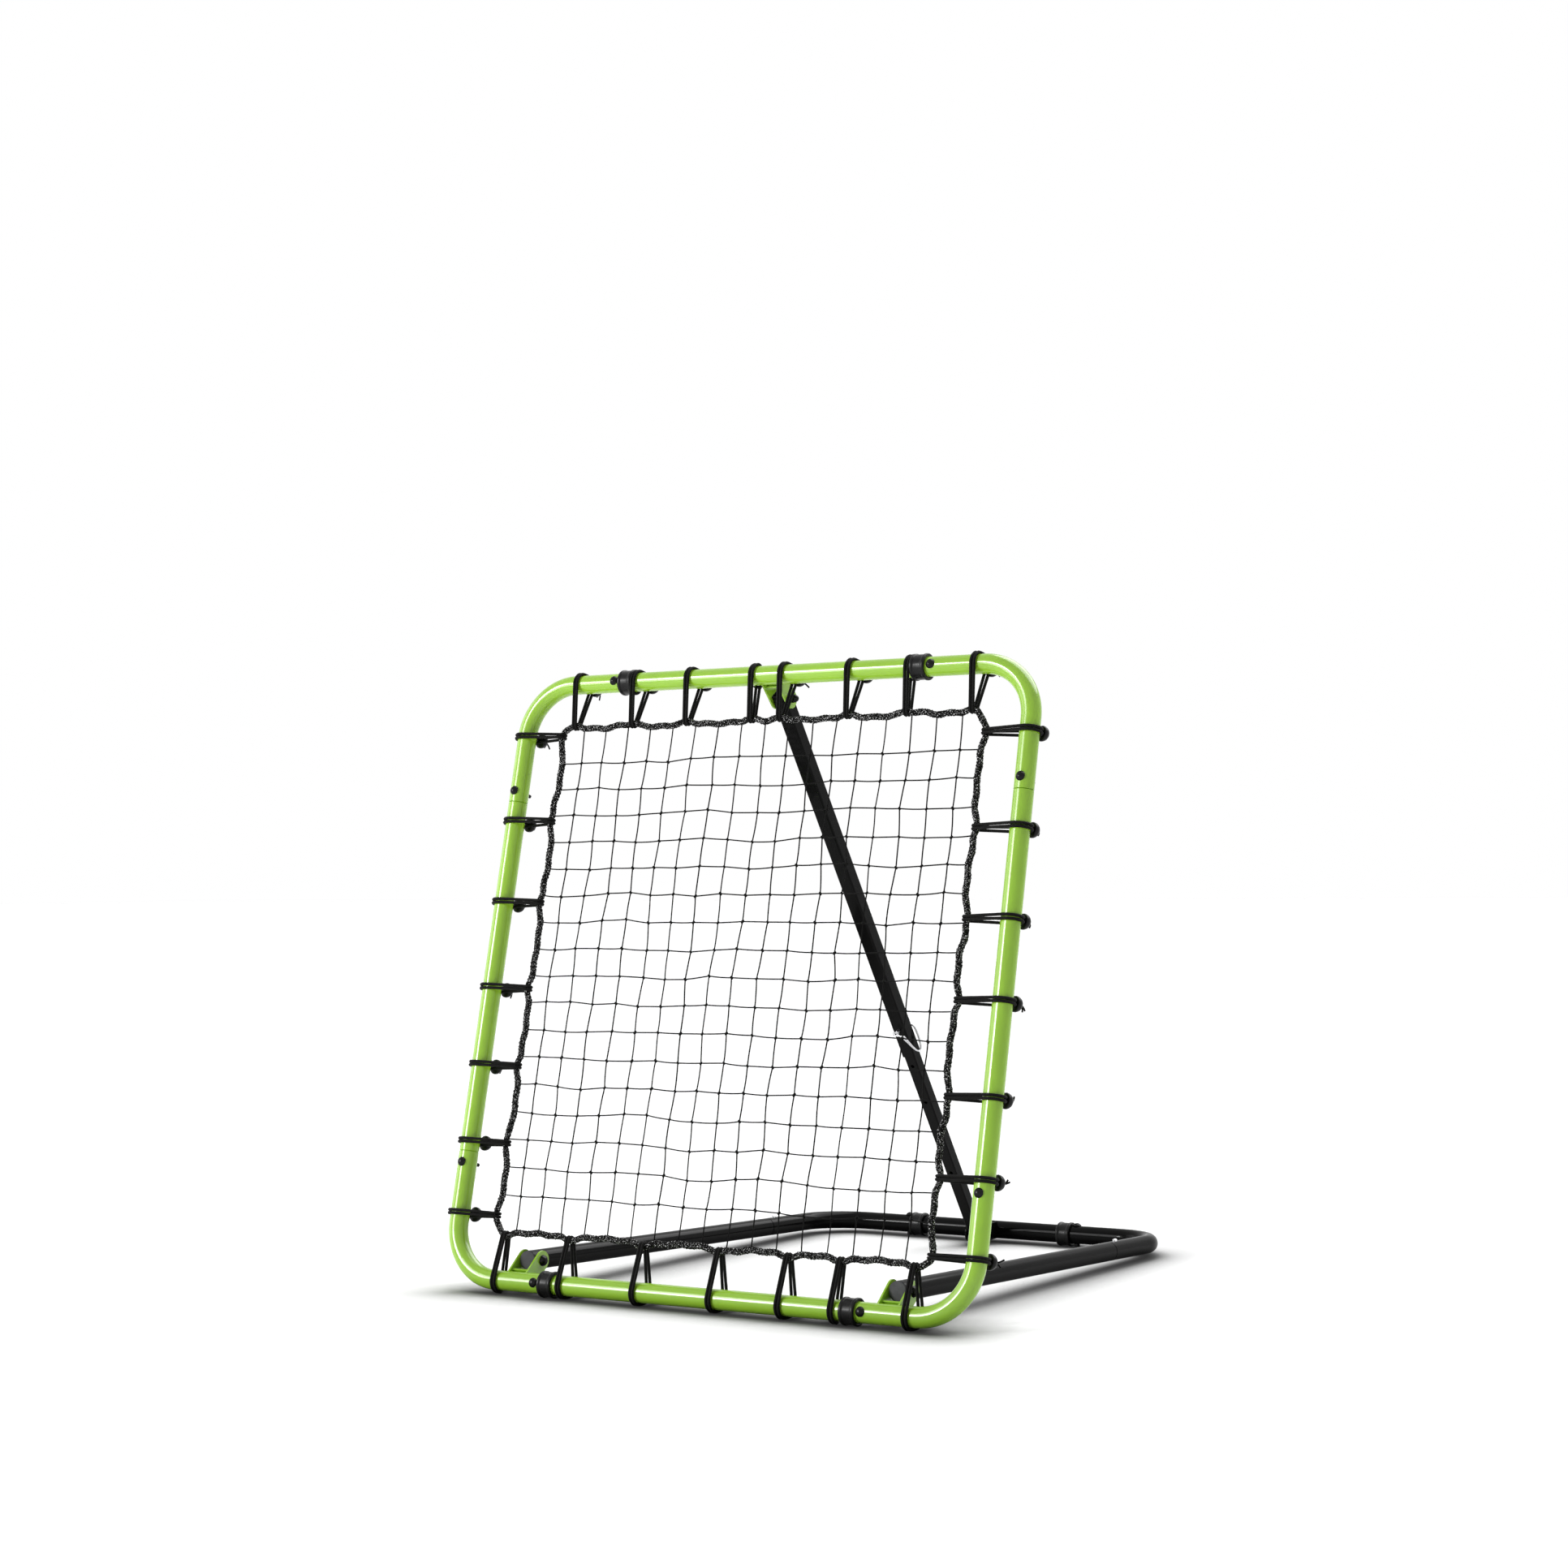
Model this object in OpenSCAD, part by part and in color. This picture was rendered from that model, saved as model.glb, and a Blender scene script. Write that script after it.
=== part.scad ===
// Pitch back rebounder: a leaning net frame on a folding base, held by a telescopic strut.
// Millimetres, Z up, front towards -Y. Origin on the floor, midway across and midway deep.

/* [Frame] */
// Overall width of the net frame
frame_w = 1000; // [800:10:1250]
// Overall height of the net frame, measured along its slope
frame_h = 1036; // [850:4:1260]
// Lean of the net frame back from upright, in degrees
frame_lean = 13.25; // [9:0.25:18]
// Outer diameter of the frame and base tubes
tube_d = 32; // [28:1:36]
// Wall of the frame and base tubes
tube_wall = 1.5; // [1.2:0.1:2]
// Centreline bend radius of the frame corners
frame_bend = 90; // [70:5:110]
// Half distance between the seams of the top and bottom tubes
seam_x = 275; // [220:5:300]
// Distance of the side seams from the top and bottom tubes
seam_z = 204; // [160:4:260]

/* [Base] */
// Distance between the centrelines of the two legs
leg_span = 693; // [560:1:740]
// Distance from the bottom tube back to the rear tube
base_d = 965; // [780:5:1160]
// Centreline bend radius of the rear corners
base_bend = 87; // [70:1:110]
// Half distance between the seams of the rear tube
rear_seam = 145; // [110:5:180]
// Distance of the leg seams in front of the rear tube
leg_seam = 225; // [180:5:270]
// Height of the snap buttons above the tube
button_rise = 4; // [3:0.5:5]

/* [Strut] */
// Outside width of the strut's outer tube
strut_w = 25; // [22:0.5:30]
// Wall of both strut tubes
strut_wall = 1.5; // [1:0.25:2]
// Diameter of the holes for the lock pin
lock_hole = 7; // [6:0.5:8]
// Spacing of the holes for the lock pin
hole_pitch = 80; // [60:5:90]
// Number of holes left below the lock pin
hole_count = 4; // [2:1:5]
// Length by which the strut can be drawn out
draw_out = 160; // [120:5:170]

/* [Net] */
// Spacing of the net's cords
mesh_pitch = 45.5; // [35:0.5:60]
// Thickness of the net's cords
cord_d = 2.4; // [1.5:0.1:3]
// Diameter of the rope round the net
rope_d = 8; // [6:0.5:10]
// Gap from the middle of the side tubes to the rope
rope_gap_side = 74; // [60:1:90]
// Gap from the middle of the top and bottom tubes to the rope
rope_gap_end = 71; // [60:1:90]
// Inward sag of the rope between two ties
rope_sag = 9; // [4:1:14]
// Width of each tie
tie_w = 10; // [6:0.5:12]
// Thickness of each tie
tie_t = 5; // [3:0.5:6]
// Diameter of the ball on each tie
ball_d = 25; // [18:1:28]

/* [Fixings] */
// Diameter of the frame and base bolts
bolt_d = 6; // [5:1:8]
// Diameter of the domed heads on the frame and base bolts
bolt_head = 15.5; // [12:0.5:16]
// Length of the frame bolts under the head
bolt_l = 45; // [40:1:50]
// Diameter of the pivot bolts
pivot_d = 8; // [6:1:10]
// Outer diameter of the plastic collars
collar_d = 43; // [38:1:46]
// Length of the plastic collars
collar_l = 26; // [20:1:30]

/* [Hidden] */
$fn = 24;
paint = [0.55, 0.78, 0.2];
black = [0.06, 0.06, 0.06];
plastic = [0.1, 0.1, 0.1];
grey = [0.3, 0.3, 0.3];
steel = [0.75, 0.75, 0.78];

tube_r = tube_d / 2;
tube_ri = tube_r - tube_wall;
swage_r = tube_ri - 0.1;
swage_ri = swage_r - tube_wall;
swage_l = 45;
swage_cone = 1.6;
seam_gap = 0.3;

frame_cx = (frame_w - tube_d) / 2;
frame_cz = frame_h - tube_d;
front_y = -base_d / 2;
floor_z = collar_d / 2;

bolt_hole = bolt_d + 0.6;
bolt_in = 30;
bolt_side = 18;
rear_bolt_in = 28.5;
collar_shift = 7;
collar_mouth = 1.4;
nut_d = 11.5;
nut_h = 4.4;
head_h = 5;
pivot_head = 15;
pivot_cap = 18;
fit = 0.05;

// Pivot of each leg, behind and above the bottom tube in the frame's own plane
leg_pivot = [32, 39];
// Pivot of the strut, behind and below the top tube in the frame's own plane
head_pivot = [43.5, -28];
foot_reach = 60;
ear_root = 14;
ear_tip = 16;
foot_tip = 17;
inner_w = strut_w - 2 * strut_wall - 0.6;
ear_t = 3;
leg_gap = tube_d + 1;
head_gap = strut_w + 1;
foot_gap = inner_w + 2.6;
pivot_hole = pivot_d + 0.16;
pivot_nut = 1.8 * pivot_d;
foot_hole = pivot_d + 5;

function lean_y(q) = q[0] * cos(frame_lean) + q[1] * sin(frame_lean);
function lean_z(q) = q[1] * cos(frame_lean) - q[0] * sin(frame_lean);
head_local = [head_pivot[0], frame_cz + head_pivot[1]];
leg_pt = [lean_y(leg_pivot), lean_z(leg_pivot)];
head_pt = [lean_y(head_local), lean_z(head_local)];
foot_pt = [base_d - foot_reach, 0];
leg_x = leg_span / 2;
leg_run = norm([base_d - leg_pt[0], leg_pt[1]]);
leg_slope = atan2(leg_pt[1], base_d - leg_pt[0]);
leg_front = 13.5;
plug_in = leg_front - pivot_d / 2 - 0.5;

strut_run = norm(foot_pt - head_pt);
strut_lean = atan2(foot_pt[0] - head_pt[0], head_pt[1] - foot_pt[1]);
outer_top = 12;
outer_end = strut_run * 0.64;
lock_s = outer_end - 59;
inner_top = lock_s - draw_out - 23;
inner_end = strut_run + 11;

button_y = leg_seam - 22;
button_r = 4;
button_base = 8;
spring_w = 7;

rope_x = frame_cx - rope_gap_side;
rope_lo = rope_gap_end;
rope_hi = frame_cz - rope_gap_end;
rope_r = rope_d / 2;
rope_sides = 8;
rope_flat = 180 / rope_sides;
tie_hold = 6;
tie_in = tube_r + 0.15;
tie_rope = rope_r + 0.15;
ball_r = ball_d / 2;
ball_off = 12;
ball_slip = 10;
ball_turn_top = 85;
ball_turn_bottom = 90;
ball_turn_right = 114;

// Stretches of tube that fittings take up, each as its middle and half its length
joint_from = seam_x + collar_shift - collar_l / 2;
joint_to = seam_x + bolt_in + bolt_head / 2;
joint_spot = [(joint_from + joint_to) / 2, (joint_to - joint_from) / 2];
leg_spot = [leg_x, leg_gap / 2 + ear_t];
head_spot = [0, head_gap / 2 + ear_t];
bolt_spot = [seam_z - bolt_side, bolt_head / 2];
top_spots = [joint_spot, head_spot];
bottom_spots = [joint_spot, leg_spot];

tie_half = tie_w / 2 + 0.5;

function free_at(v, half, spots) =
  min([for (p = spots) abs(abs(v) - p[0]) - p[1]]) > half - 0.001;

// Number of the net's cords over a span, and the stretches that they take up
function cord_count(span) = floor(span / mesh_pitch) - 1;
function cord_spots(span) =
  let (n = cord_count(span))
  [for (i = [0 : n - 1]) [abs(i - (n - 1) / 2) * mesh_pitch, cord_d / 2]];

// A tie keeps clear of fittings and cords, and its half ball needs room on one side
function tie_fits(v, spots, cords) =
  free_at(v, tie_half, concat(spots, cords))
    && (free_at(v + ball_off, ball_r, spots) || free_at(v - ball_off, ball_r, spots));

// The nearest place to v where a tie fits
function beside(v, spots, cords) =
  let (
    edges = [
      for (p = concat(spots, cords), side = [-1, 1], way = [-1, 1])
        side * p[0] + way * (p[1] + tie_half)
    ],
    places = [for (q = concat([v], edges)) if (tie_fits(q, spots, cords)) q],
    away = [for (q = places) abs(q - v)]
  )
  len(places) > 0 ? places[search(min(away), away)[0]] : v;

// Ties across the frame, and ties up a side, kept off the bends
function ties_across(list, spots) =
  let (
    end = frame_cx - frame_bend,
    cords = cord_spots(2 * rope_x)
  )
  [for (v = list) max(-end, min(end, beside(v * frame_w / 1000, spots, cords)))];
function ties_up(list) =
  let (
    end = frame_cz / 2 - frame_bend,
    bolts = [[frame_cz / 2 - bolt_spot[0], bolt_spot[1]]],
    cords = cord_spots(rope_hi - rope_lo)
  )
  [
    for (v = list)
      frame_cz / 2 + max(-end, min(end, beside(v * frame_h / 1036 - frame_cz / 2, bolts, cords)))
  ];

ties_x_top = ties_across([-382, -264, -155, -28, 28, 155, 264, 382], top_spots);
ties_x_bottom = ties_across([-384, -254, -110, 34, 160, 254, 382], bottom_spots);
ties_z_left = ties_up([104, 222, 350, 480, 626, 766, 914]);
ties_z_right = ties_up([82, 206, 328, 474, 600, 742, 894]);

// ---- Places ----

// The frame's own plane: X across, Z up the slope from the bottom tube, -Y to the front
module in_frame() {
  translate([0, front_y, floor_z]) rotate([-frame_lean, 0, 0]) children();
}

// The base's own plane: origin at the rear tube, legs running towards -Y
module in_base() {
  translate([0, front_y + base_d, floor_z]) rotate([-leg_slope, 0, 0]) children();
}

// The strut's own line: origin at its head pivot, Z up the strut, -Y to its front face
module in_strut() {
  translate([0, front_y + head_pt[0], floor_z + head_pt[1]])
    rotate([strut_lean, 0, 0])
      children();
}

module flip_x(side) {
  mirror([side < 0 ? 1 : 0, 0, 0]) children();
}

module flip_top(up) {
  translate([0, 0, up ? frame_cz : 0]) mirror([0, 0, up ? 1 : 0]) children();
}

// ---- Shared shapes ----

module ring2d() {
  difference() {
    circle(r = tube_r);
    circle(r = tube_ri);
  }
}

module pipe(length) {
  linear_extrude(length) ring2d();
}

// Quarter bend in the XY plane, from [0, -radius] round to [radius, 0]
module quarter_bend(radius) {
  rotate([0, 0, -90])
    rotate_extrude(angle = 90)
      translate([radius, 0])
        ring2d();
}

// Straight tube along Z, centred, with both ends swaged to slip into a corner piece
module swaged_tube(seam_to_seam) {
  half = seam_to_seam / 2 - seam_gap;
  rotate_extrude()
    polygon([
      [tube_r, swage_cone - half], [tube_r, half - swage_cone],
      [swage_r, half], [swage_r, half + swage_l],
      [swage_ri, half + swage_l], [swage_ri, half],
      [tube_ri, half - swage_cone], [tube_ri, swage_cone - half],
      [swage_ri, -half], [swage_ri, -half - swage_l],
      [swage_r, -half - swage_l], [swage_r, -half]
    ]);
}

// Cross drilling along Y
module drill_y(size) {
  rotate([90, 0, 0]) cylinder(d = size, h = tube_d + 4, center = true);
}

module dome(size, height) {
  ball = (size * size / 4 + height * height) / (2 * height);
  intersection() {
    translate([0, 0, height - ball]) sphere(r = ball);
    cylinder(d = size, h = height);
  }
}

// Bolt along Z: the head stands on z = 0 and the shank hangs below it
module domed_bolt(size, grip, head, height) {
  union() {
    dome(head, height);
    translate([0, 0, -grip]) cylinder(d = size, h = grip + 1);
  }
}

// Cap nut along Z, standing on z = 0: a hexagon, then a dome over the bolt's end
module cap_nut(size, across, height) {
  flats = across * cos(30);
  difference() {
    union() {
      cylinder(d = across, h = height * 0.55, $fn = 6);
      translate([0, 0, height * 0.55 - 0.01]) dome(flats - 0.6, height * 0.45);
    }
    translate([0, 0, -1]) cylinder(d = size + 0.1, h = height * 0.75 + 1);
  }
}

// Plain nut along Z, standing on z = 0
module hex_nut(size, across, height) {
  difference() {
    cylinder(d = across, h = height, $fn = 6);
    translate([0, 0, -1]) cylinder(d = size + 0.1, h = height + 2);
  }
}

module frame_nut() {
  hex_nut(bolt_d, nut_d, nut_h);
}

// Collar along Z, centred, with a raised rim and a flared mouth at each end
module collar() {
  rim = 5;
  half = collar_l / 2;
  top = collar_d / 2;
  rotate_extrude()
    polygon([
      [tube_r + 0.1, collar_mouth - half], [tube_r + 0.1 + collar_mouth, -half],
      [top - 1, -half], [top, 1 - half], [top, rim - half],
      [top - 1.2, rim + 1.2 - half], [top - 1.2, half - rim - 1.2],
      [top, half - rim], [top, half - 1], [top - 1, half],
      [tube_r + 0.1 + collar_mouth, half], [tube_r + 0.1, half - collar_mouth]
    ]);
}

function aim(angle) = [cos(angle), sin(angle)];

// Four corners of the tangent band from a circle at the origin to one at q
function tangent_band(q, a, b) =
  let (
    th = atan2(q[1], q[0]),
    k = acos((a - b) / norm(q))
  )
  [a * aim(th + k), q + b * aim(th + k), q + b * aim(th - k), a * aim(th - k)];

// Upright plate across X, drawn as [y, z]
module plate(x) {
  translate([x, 0, 0])
    rotate([90, 0, 90])
      linear_extrude(ear_t, center = true)
        children();
}

// One ear, from the tube at the origin to the pivot at q
module ear2d(q, root_r, tip_r, hole) {
  difference() {
    union() {
      translate(q) circle(r = tip_r);
      polygon(tangent_band(q, root_r, tip_r));
    }
    circle(r = tube_r + 0.02);
    translate(q) circle(d = hole);
  }
}

// Two ears and the web between them, seated on a tube along X
module u_bracket(q, gap, root_r, tip_r, hole) {
  union() {
    for (s = [-1, 1])
      plate(s * (gap + ear_t) / 2)
        ear2d(q, root_r, tip_r, hole);
    rotate([atan2(q[1], q[0]), 0, 0])
      translate([-gap / 2 - 1, tube_r + 0.02, -10])
        cube([gap + 2, ear_t, 20]);
  }
}

// Rounded square, centred
module soft_square(size, radius) {
  flat = size - 2 * radius;
  union() {
    square([size, flat], center = true);
    square([flat, size], center = true);
    for (x = [-1, 1], y = [-1, 1])
      translate([x * flat / 2, y * flat / 2])
        circle(r = radius);
  }
}

module square_tube(size, radius, length) {
  linear_extrude(length)
    difference() {
      soft_square(size, radius);
      soft_square(size - 2 * strut_wall, radius - strut_wall);
    }
}

// ---- Net frame ----

module corner_shape() {
  difference() {
    union() {
      translate([seam_x, 0, 0])
        rotate([0, 90, 0])
          pipe(frame_cx - frame_bend - seam_x);
      translate([frame_cx - frame_bend, 0, frame_bend])
        rotate([90, 0, 0])
          quarter_bend(frame_bend);
      translate([frame_cx, 0, frame_bend])
        pipe(seam_z - frame_bend);
    }
    translate([seam_x + bolt_in, 0, 0]) drill_y(bolt_hole);
    translate([frame_cx, 0, seam_z - bolt_side]) drill_y(bolt_hole);
  }
}

module frame_corner(side, up) {
  color(paint) in_frame() flip_top(up) flip_x(side) corner_shape();
}

module cross_tube(up) {
  color(paint)
    in_frame()
      flip_top(up)
        difference() {
          rotate([0, 90, 0]) swaged_tube(2 * seam_x);
          for (s = [-1, 1])
            translate([s * (seam_x + bolt_in), 0, 0])
              drill_y(bolt_hole);
        }
}

module side_tube(side) {
  span = frame_cz - 2 * seam_z;
  color(paint)
    in_frame()
      translate([side * frame_cx, 0, frame_cz / 2])
        difference() {
          swaged_tube(span);
          for (s = [-1, 1])
            translate([0, 0, s * (span / 2 + bolt_side)])
              drill_y(bolt_hole);
        }
}

module frame_collar(side, up) {
  color(plastic)
    in_frame()
      flip_top(up)
        translate([side * (seam_x + collar_shift), 0, 0])
          rotate([0, 90, 0])
            collar();
}

// The eight bolt places of the net frame, each turned so that +Z points to the front
module at_frame_bolts() {
  in_frame()
    for (up = [false, true], s = [-1, 1])
      flip_top(up) {
        translate([s * (seam_x + bolt_in), 0, 0]) rotate([90, 0, 0]) children();
        translate([s * frame_cx, 0, seam_z - bolt_side]) rotate([90, 0, 0]) children();
      }
}

module frame_bolts() {
  color(black)
    at_frame_bolts()
      translate([0, 0, tube_r + fit])
        domed_bolt(bolt_d, bolt_l, bolt_head, head_h);
}

module frame_nuts() {
  color(black)
    at_frame_bolts()
      translate([0, 0, -tube_r - fit - nut_h])
        frame_nut();
}

module base_bracket(side) {
  color(paint)
    in_frame()
      translate([side * leg_x, 0, 0])
        u_bracket(leg_pivot, leg_gap, ear_root, ear_tip, pivot_hole);
}

module head_bracket() {
  color(paint)
    in_frame()
      translate([0, 0, frame_cz])
        u_bracket(head_pivot, head_gap, ear_root, ear_tip, pivot_hole);
}

// ---- Net, rope and ties ----

// One side of the rope as [along, inward]: straight at each tie, sagging between two
function rope_run(list, dir) = [
  for (i = [0 : len(list) - 1])
    each concat(
      [[list[i] - dir * tie_hold, 0], [list[i] + dir * tie_hold, 0]],
      i < len(list) - 1 ? [[(list[i] + list[i + 1]) / 2, rope_sag]] : []
    )
];

function reversed(list) = [for (i = [len(list) - 1 : -1 : 0]) list[i]];

// The whole loop of the rope in the frame's plane, as [x, z]
rope_path = concat(
  [for (p = rope_run(ties_x_bottom, 1)) [p[0], rope_lo + p[1]]],
  [for (p = rope_run(ties_z_right, 1)) [rope_x - p[1], p[0]]],
  [for (p = rope_run(reversed(ties_x_top), -1)) [p[0], rope_hi - p[1]]],
  [for (p = rope_run(reversed(ties_z_left), -1)) [p[1] - rope_x, p[0]]]
);

function unit(v) = v / norm(v);
function left_of(v) = [-v[1], v[0]];
function wrap(i, n) = (i + n) % n;

// Inward direction at each point of a closed path
function inward(path) =
  let (n = len(path))
  [for (i = [0 : n - 1]) left_of(unit(
    unit(path[i] - path[wrap(i - 1, n)]) + unit(path[wrap(i + 1, n)] - path[i])
  ))];

rope_in = inward(rope_path);

module edge_rope() {
  n = len(rope_path);
  points = [
    for (i = [0 : n - 1], k = [0 : rope_sides - 1])
      let (
        a = rope_flat + k * 360 / rope_sides,
        p = rope_path[i] + rope_in[i] * rope_r * cos(a)
      )
      [p[0], rope_r * sin(a), p[1]]
  ];
  faces = [
    for (i = [0 : n - 1], k = [0 : rope_sides - 1])
      let (
        j = wrap(i + 1, n),
        m = wrap(k + 1, rope_sides)
      )
      [i * rope_sides + k, i * rope_sides + m, j * rope_sides + m, j * rope_sides + k]
  ];
  color(black) in_frame() polyhedron(points, faces);
}

module net() {
  across = cord_count(2 * rope_x);
  upward = cord_count(rope_hi - rope_lo);
  inner = [
    for (i = [0 : len(rope_path) - 1])
      rope_path[i] + rope_in[i] * rope_r * cos(rope_flat)
  ];
  color(black)
    in_frame()
      rotate([90, 0, 0])
        linear_extrude(cord_d, center = true)
          intersection() {
            polygon(inner);
            union() {
              for (i = [0 : across - 1])
                translate([(i - (across - 1) / 2) * mesh_pitch, frame_cz / 2])
                  square([cord_d, frame_h], center = true);
              for (i = [0 : upward - 1])
                translate([0, frame_cz / 2 + (i - (upward - 1) / 2) * mesh_pitch])
                  square([frame_w, cord_d], center = true);
            }
          }
}

// A place on one of the four tubes, turned so that +X points inward to the rope
module on_tube(turn, along) {
  x = turn == 0 ? -frame_cx : turn == 180 ? frame_cx : along;
  z = turn == 90 ? frame_cz : turn == -90 ? 0 : along;
  translate([x, 0, z]) rotate([0, turn, 0]) children();
}

// Outline of a band round a large circle at the origin and a small one at [reach, 0]
function band_points(reach, a, b) =
  let (
    k = acos((a - b) / reach),
    far = 24,
    near = 10
  )
  concat(
    [for (i = [0 : far]) a * aim(k + (360 - 2 * k) * i / far)],
    [for (i = [0 : near]) [reach, 0] + b * aim(-k + 2 * k * i / near)]
  );

// One tie: an elastic loop round the tube and the rope
module tie_loop(reach) {
  linear_extrude(tie_w, center = true)
    difference() {
      polygon(band_points(reach, tie_in + tie_t, tie_rope + tie_t));
      polygon(band_points(reach, tie_in, tie_rope));
    }
}

module tie_row(turn, list, reach) {
  color(black)
    in_frame()
      for (p = list)
        on_tube(turn, p)
          tie_loop(reach);
}

// The half ball behind the tube, seated on its tie: slip moves it along the tie towards the rope
module tie_ball(angle, slip = 0) {
  rotate([0, 0, angle])
    translate([tie_in + tie_t + fit, -slip, 0])
      rotate([0, 90, 0])
        rotate_extrude($fn = 16)
          polygon([
            [0, 0], [ball_r - 1.5, 0], [ball_r, 1.5], [ball_r, 4], [ball_r * 0.9, 7.5],
            [ball_r * 0.65, 10.5], [ball_r * 0.3, 12.5], [0, 13]
          ]);
}

// A half ball sits to the right of its tie, or to the left where a fitting is in the way
function ball_at(v, spots) =
  free_at(v + ball_off, ball_r, spots) ? v + ball_off
    : free_at(v - ball_off, ball_r, spots) ? v - ball_off : v;

// Angle at which a tie leaves the tube for the rope
function tie_leaves(reach) = acos((tie_in - tie_rope) / reach);

module tie_balls() {
  color(black)
    in_frame() {
      for (p = ties_x_top)
        on_tube(90, ball_at(p, top_spots)) tie_ball(ball_turn_top);
      for (p = ties_x_bottom)
        on_tube(-90, ball_at(p, bottom_spots)) tie_ball(ball_turn_bottom);
      for (p = ties_z_left)
        on_tube(0, p) tie_ball(tie_leaves(rope_gap_side), ball_slip);
      for (p = ties_z_right)
        on_tube(180, p) tie_ball(ball_turn_right);
    }
}

// ---- Pivot bolts ----

// Turns a part drawn along Z to lie along X, its top outward on the given side
module along_x(side) {
  rotate([0, side * 90, 0]) children();
}

module pivot_bolts() {
  color(black)
    in_frame()
      for (s = [-1, 1])
        translate([s * (leg_x + leg_gap / 2 + ear_t + fit), leg_pivot[0], leg_pivot[1]])
          along_x(s)
            domed_bolt(pivot_d, leg_gap + 2 * ear_t + 5, pivot_cap, 6);
}

module pivot_caps() {
  color(black)
    in_frame()
      for (s = [-1, 1])
        translate([s * (leg_x - leg_gap / 2 - ear_t - fit), leg_pivot[0], leg_pivot[1]])
          along_x(-s)
            difference() {
              dome(pivot_cap, 8);
              translate([0, 0, -1]) cylinder(d = pivot_d + 0.1, h = 6.2);
            }
}

module head_bolt() {
  color(black)
    in_frame()
      translate([-head_gap / 2 - ear_t - fit, head_local[0], head_local[1]])
        along_x(-1)
          domed_bolt(pivot_d, head_gap + 2 * ear_t + 9, pivot_head, head_h);
}

module head_nut() {
  color(black)
    in_frame()
      translate([head_gap / 2 + ear_t + fit, head_local[0], head_local[1]])
        along_x(1)
          cap_nut(pivot_d, pivot_nut, 13);
}

// ---- Base ----

module leg(side) {
  front = leg_run + leg_front;
  back = leg_seam + seam_gap;
  color(black)
    in_base()
      translate([side * leg_x, 0, 0])
        difference() {
          rotate([90, 0, 0])
            rotate_extrude()
              polygon([
                [tube_r, back + swage_cone], [tube_r, front], [tube_ri, front],
                [tube_ri, back + swage_cone], [swage_ri, back], [swage_ri, back - swage_l],
                [swage_r, back - swage_l], [swage_r, back]
              ]);
          translate([0, -leg_run, 0])
            rotate([0, 90, 0])
              cylinder(d = pivot_hole, h = tube_d + 4, center = true);
          translate([0, -button_y, 0]) cylinder(r = button_r + 0.08, h = tube_d);
        }
}

module rear_corner(side) {
  color(black)
    in_base()
      flip_x(side)
        difference() {
          union() {
            translate([leg_x, -base_bend, 0])
              rotate([90, 0, 0])
                pipe(leg_seam - base_bend);
            translate([leg_x - base_bend, -base_bend, 0])
              rotate([0, 0, 90])
                quarter_bend(base_bend);
            translate([rear_seam, 0, 0])
              rotate([0, 90, 0])
                pipe(leg_x - base_bend - rear_seam);
          }
          translate([leg_x, -button_y, 0]) cylinder(r = button_r + 0.35, h = tube_d);
          translate([rear_seam + rear_bolt_in, 0, 0])
            cylinder(d = bolt_hole, h = tube_d + 4, center = true);
        }
}

module rear_tube() {
  color(black)
    in_base()
      difference() {
        rotate([0, 90, 0]) swaged_tube(2 * rear_seam);
        for (s = [-1, 1])
          translate([s * (rear_seam + rear_bolt_in), 0, 0])
            cylinder(d = bolt_hole, h = tube_d + 4, center = true);
      }
}

module rear_collar(side) {
  color(plastic)
    in_base()
      translate([side * (rear_seam + collar_shift), 0, 0])
        rotate([0, 90, 0])
          collar();
}

module rear_bolts() {
  color(black)
    in_base()
      for (s = [-1, 1])
        translate([s * (rear_seam + rear_bolt_in), 0, tube_r + fit])
          domed_bolt(bolt_d, tube_d + nut_h, bolt_head, head_h);
}

module rear_nuts() {
  color(black)
    in_base()
      for (s = [-1, 1])
        translate([s * (rear_seam + rear_bolt_in), 0, -tube_r - fit - nut_h])
          frame_nut();
}

// Stem inside the leg, and a flat cap over its end
module end_plug(side) {
  color(grey)
    in_base()
      translate([side * leg_x, -leg_run - leg_front, 0])
        rotate([90, 0, 0])
          rotate_extrude()
            polygon([
              [0, 2], [tube_r - 1.5, 2], [tube_r - 0.5, 1], [tube_r - 0.5, fit],
              [tube_ri - 0.05, fit], [tube_ri - 0.05, -plug_in], [tube_ri - 2, -plug_in],
              [tube_ri - 2, -1], [0, -1]
            ]);
}

module snap_button(side) {
  stem = tube_r + button_rise - 2 - button_base;
  color(steel)
    in_base()
      translate([side * leg_x, -button_y, button_base + fit])
        union() {
          cylinder(r = button_r, h = stem);
          translate([0, 0, stem]) dome(2 * button_r, 2);
        }
}

// Folded leaf spring under the button
module snap_spring(side) {
  low = 0.2 - sqrt(pow(swage_ri, 2) - pow(spring_w / 2, 2));
  color(steel)
    in_base()
      translate([side * leg_x, -button_y, 0])
        rotate([90, 0, 90])
          linear_extrude(spring_w, center = true)
            polygon([
              [8, button_base], [-6, button_base], [-48, low + 2], [-48, low],
              [8, low], [8, low + 1], [-44, low + 1], [-5, button_base - 1],
              [8, button_base - 1]
            ]);
}

module at_foot() {
  translate([0, front_y + base_d, floor_z]) children();
}

module foot_bracket() {
  color(black)
    at_foot()
      u_bracket([-foot_reach, 0], foot_gap, ear_root, foot_tip, pivot_hole);
}

module foot_bolt() {
  color(black)
    at_foot()
      translate([-foot_gap / 2 - ear_t - fit, -foot_reach, 0])
        along_x(-1)
          domed_bolt(pivot_d, foot_gap + 2 * ear_t + 9, pivot_head, head_h);
}

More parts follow.
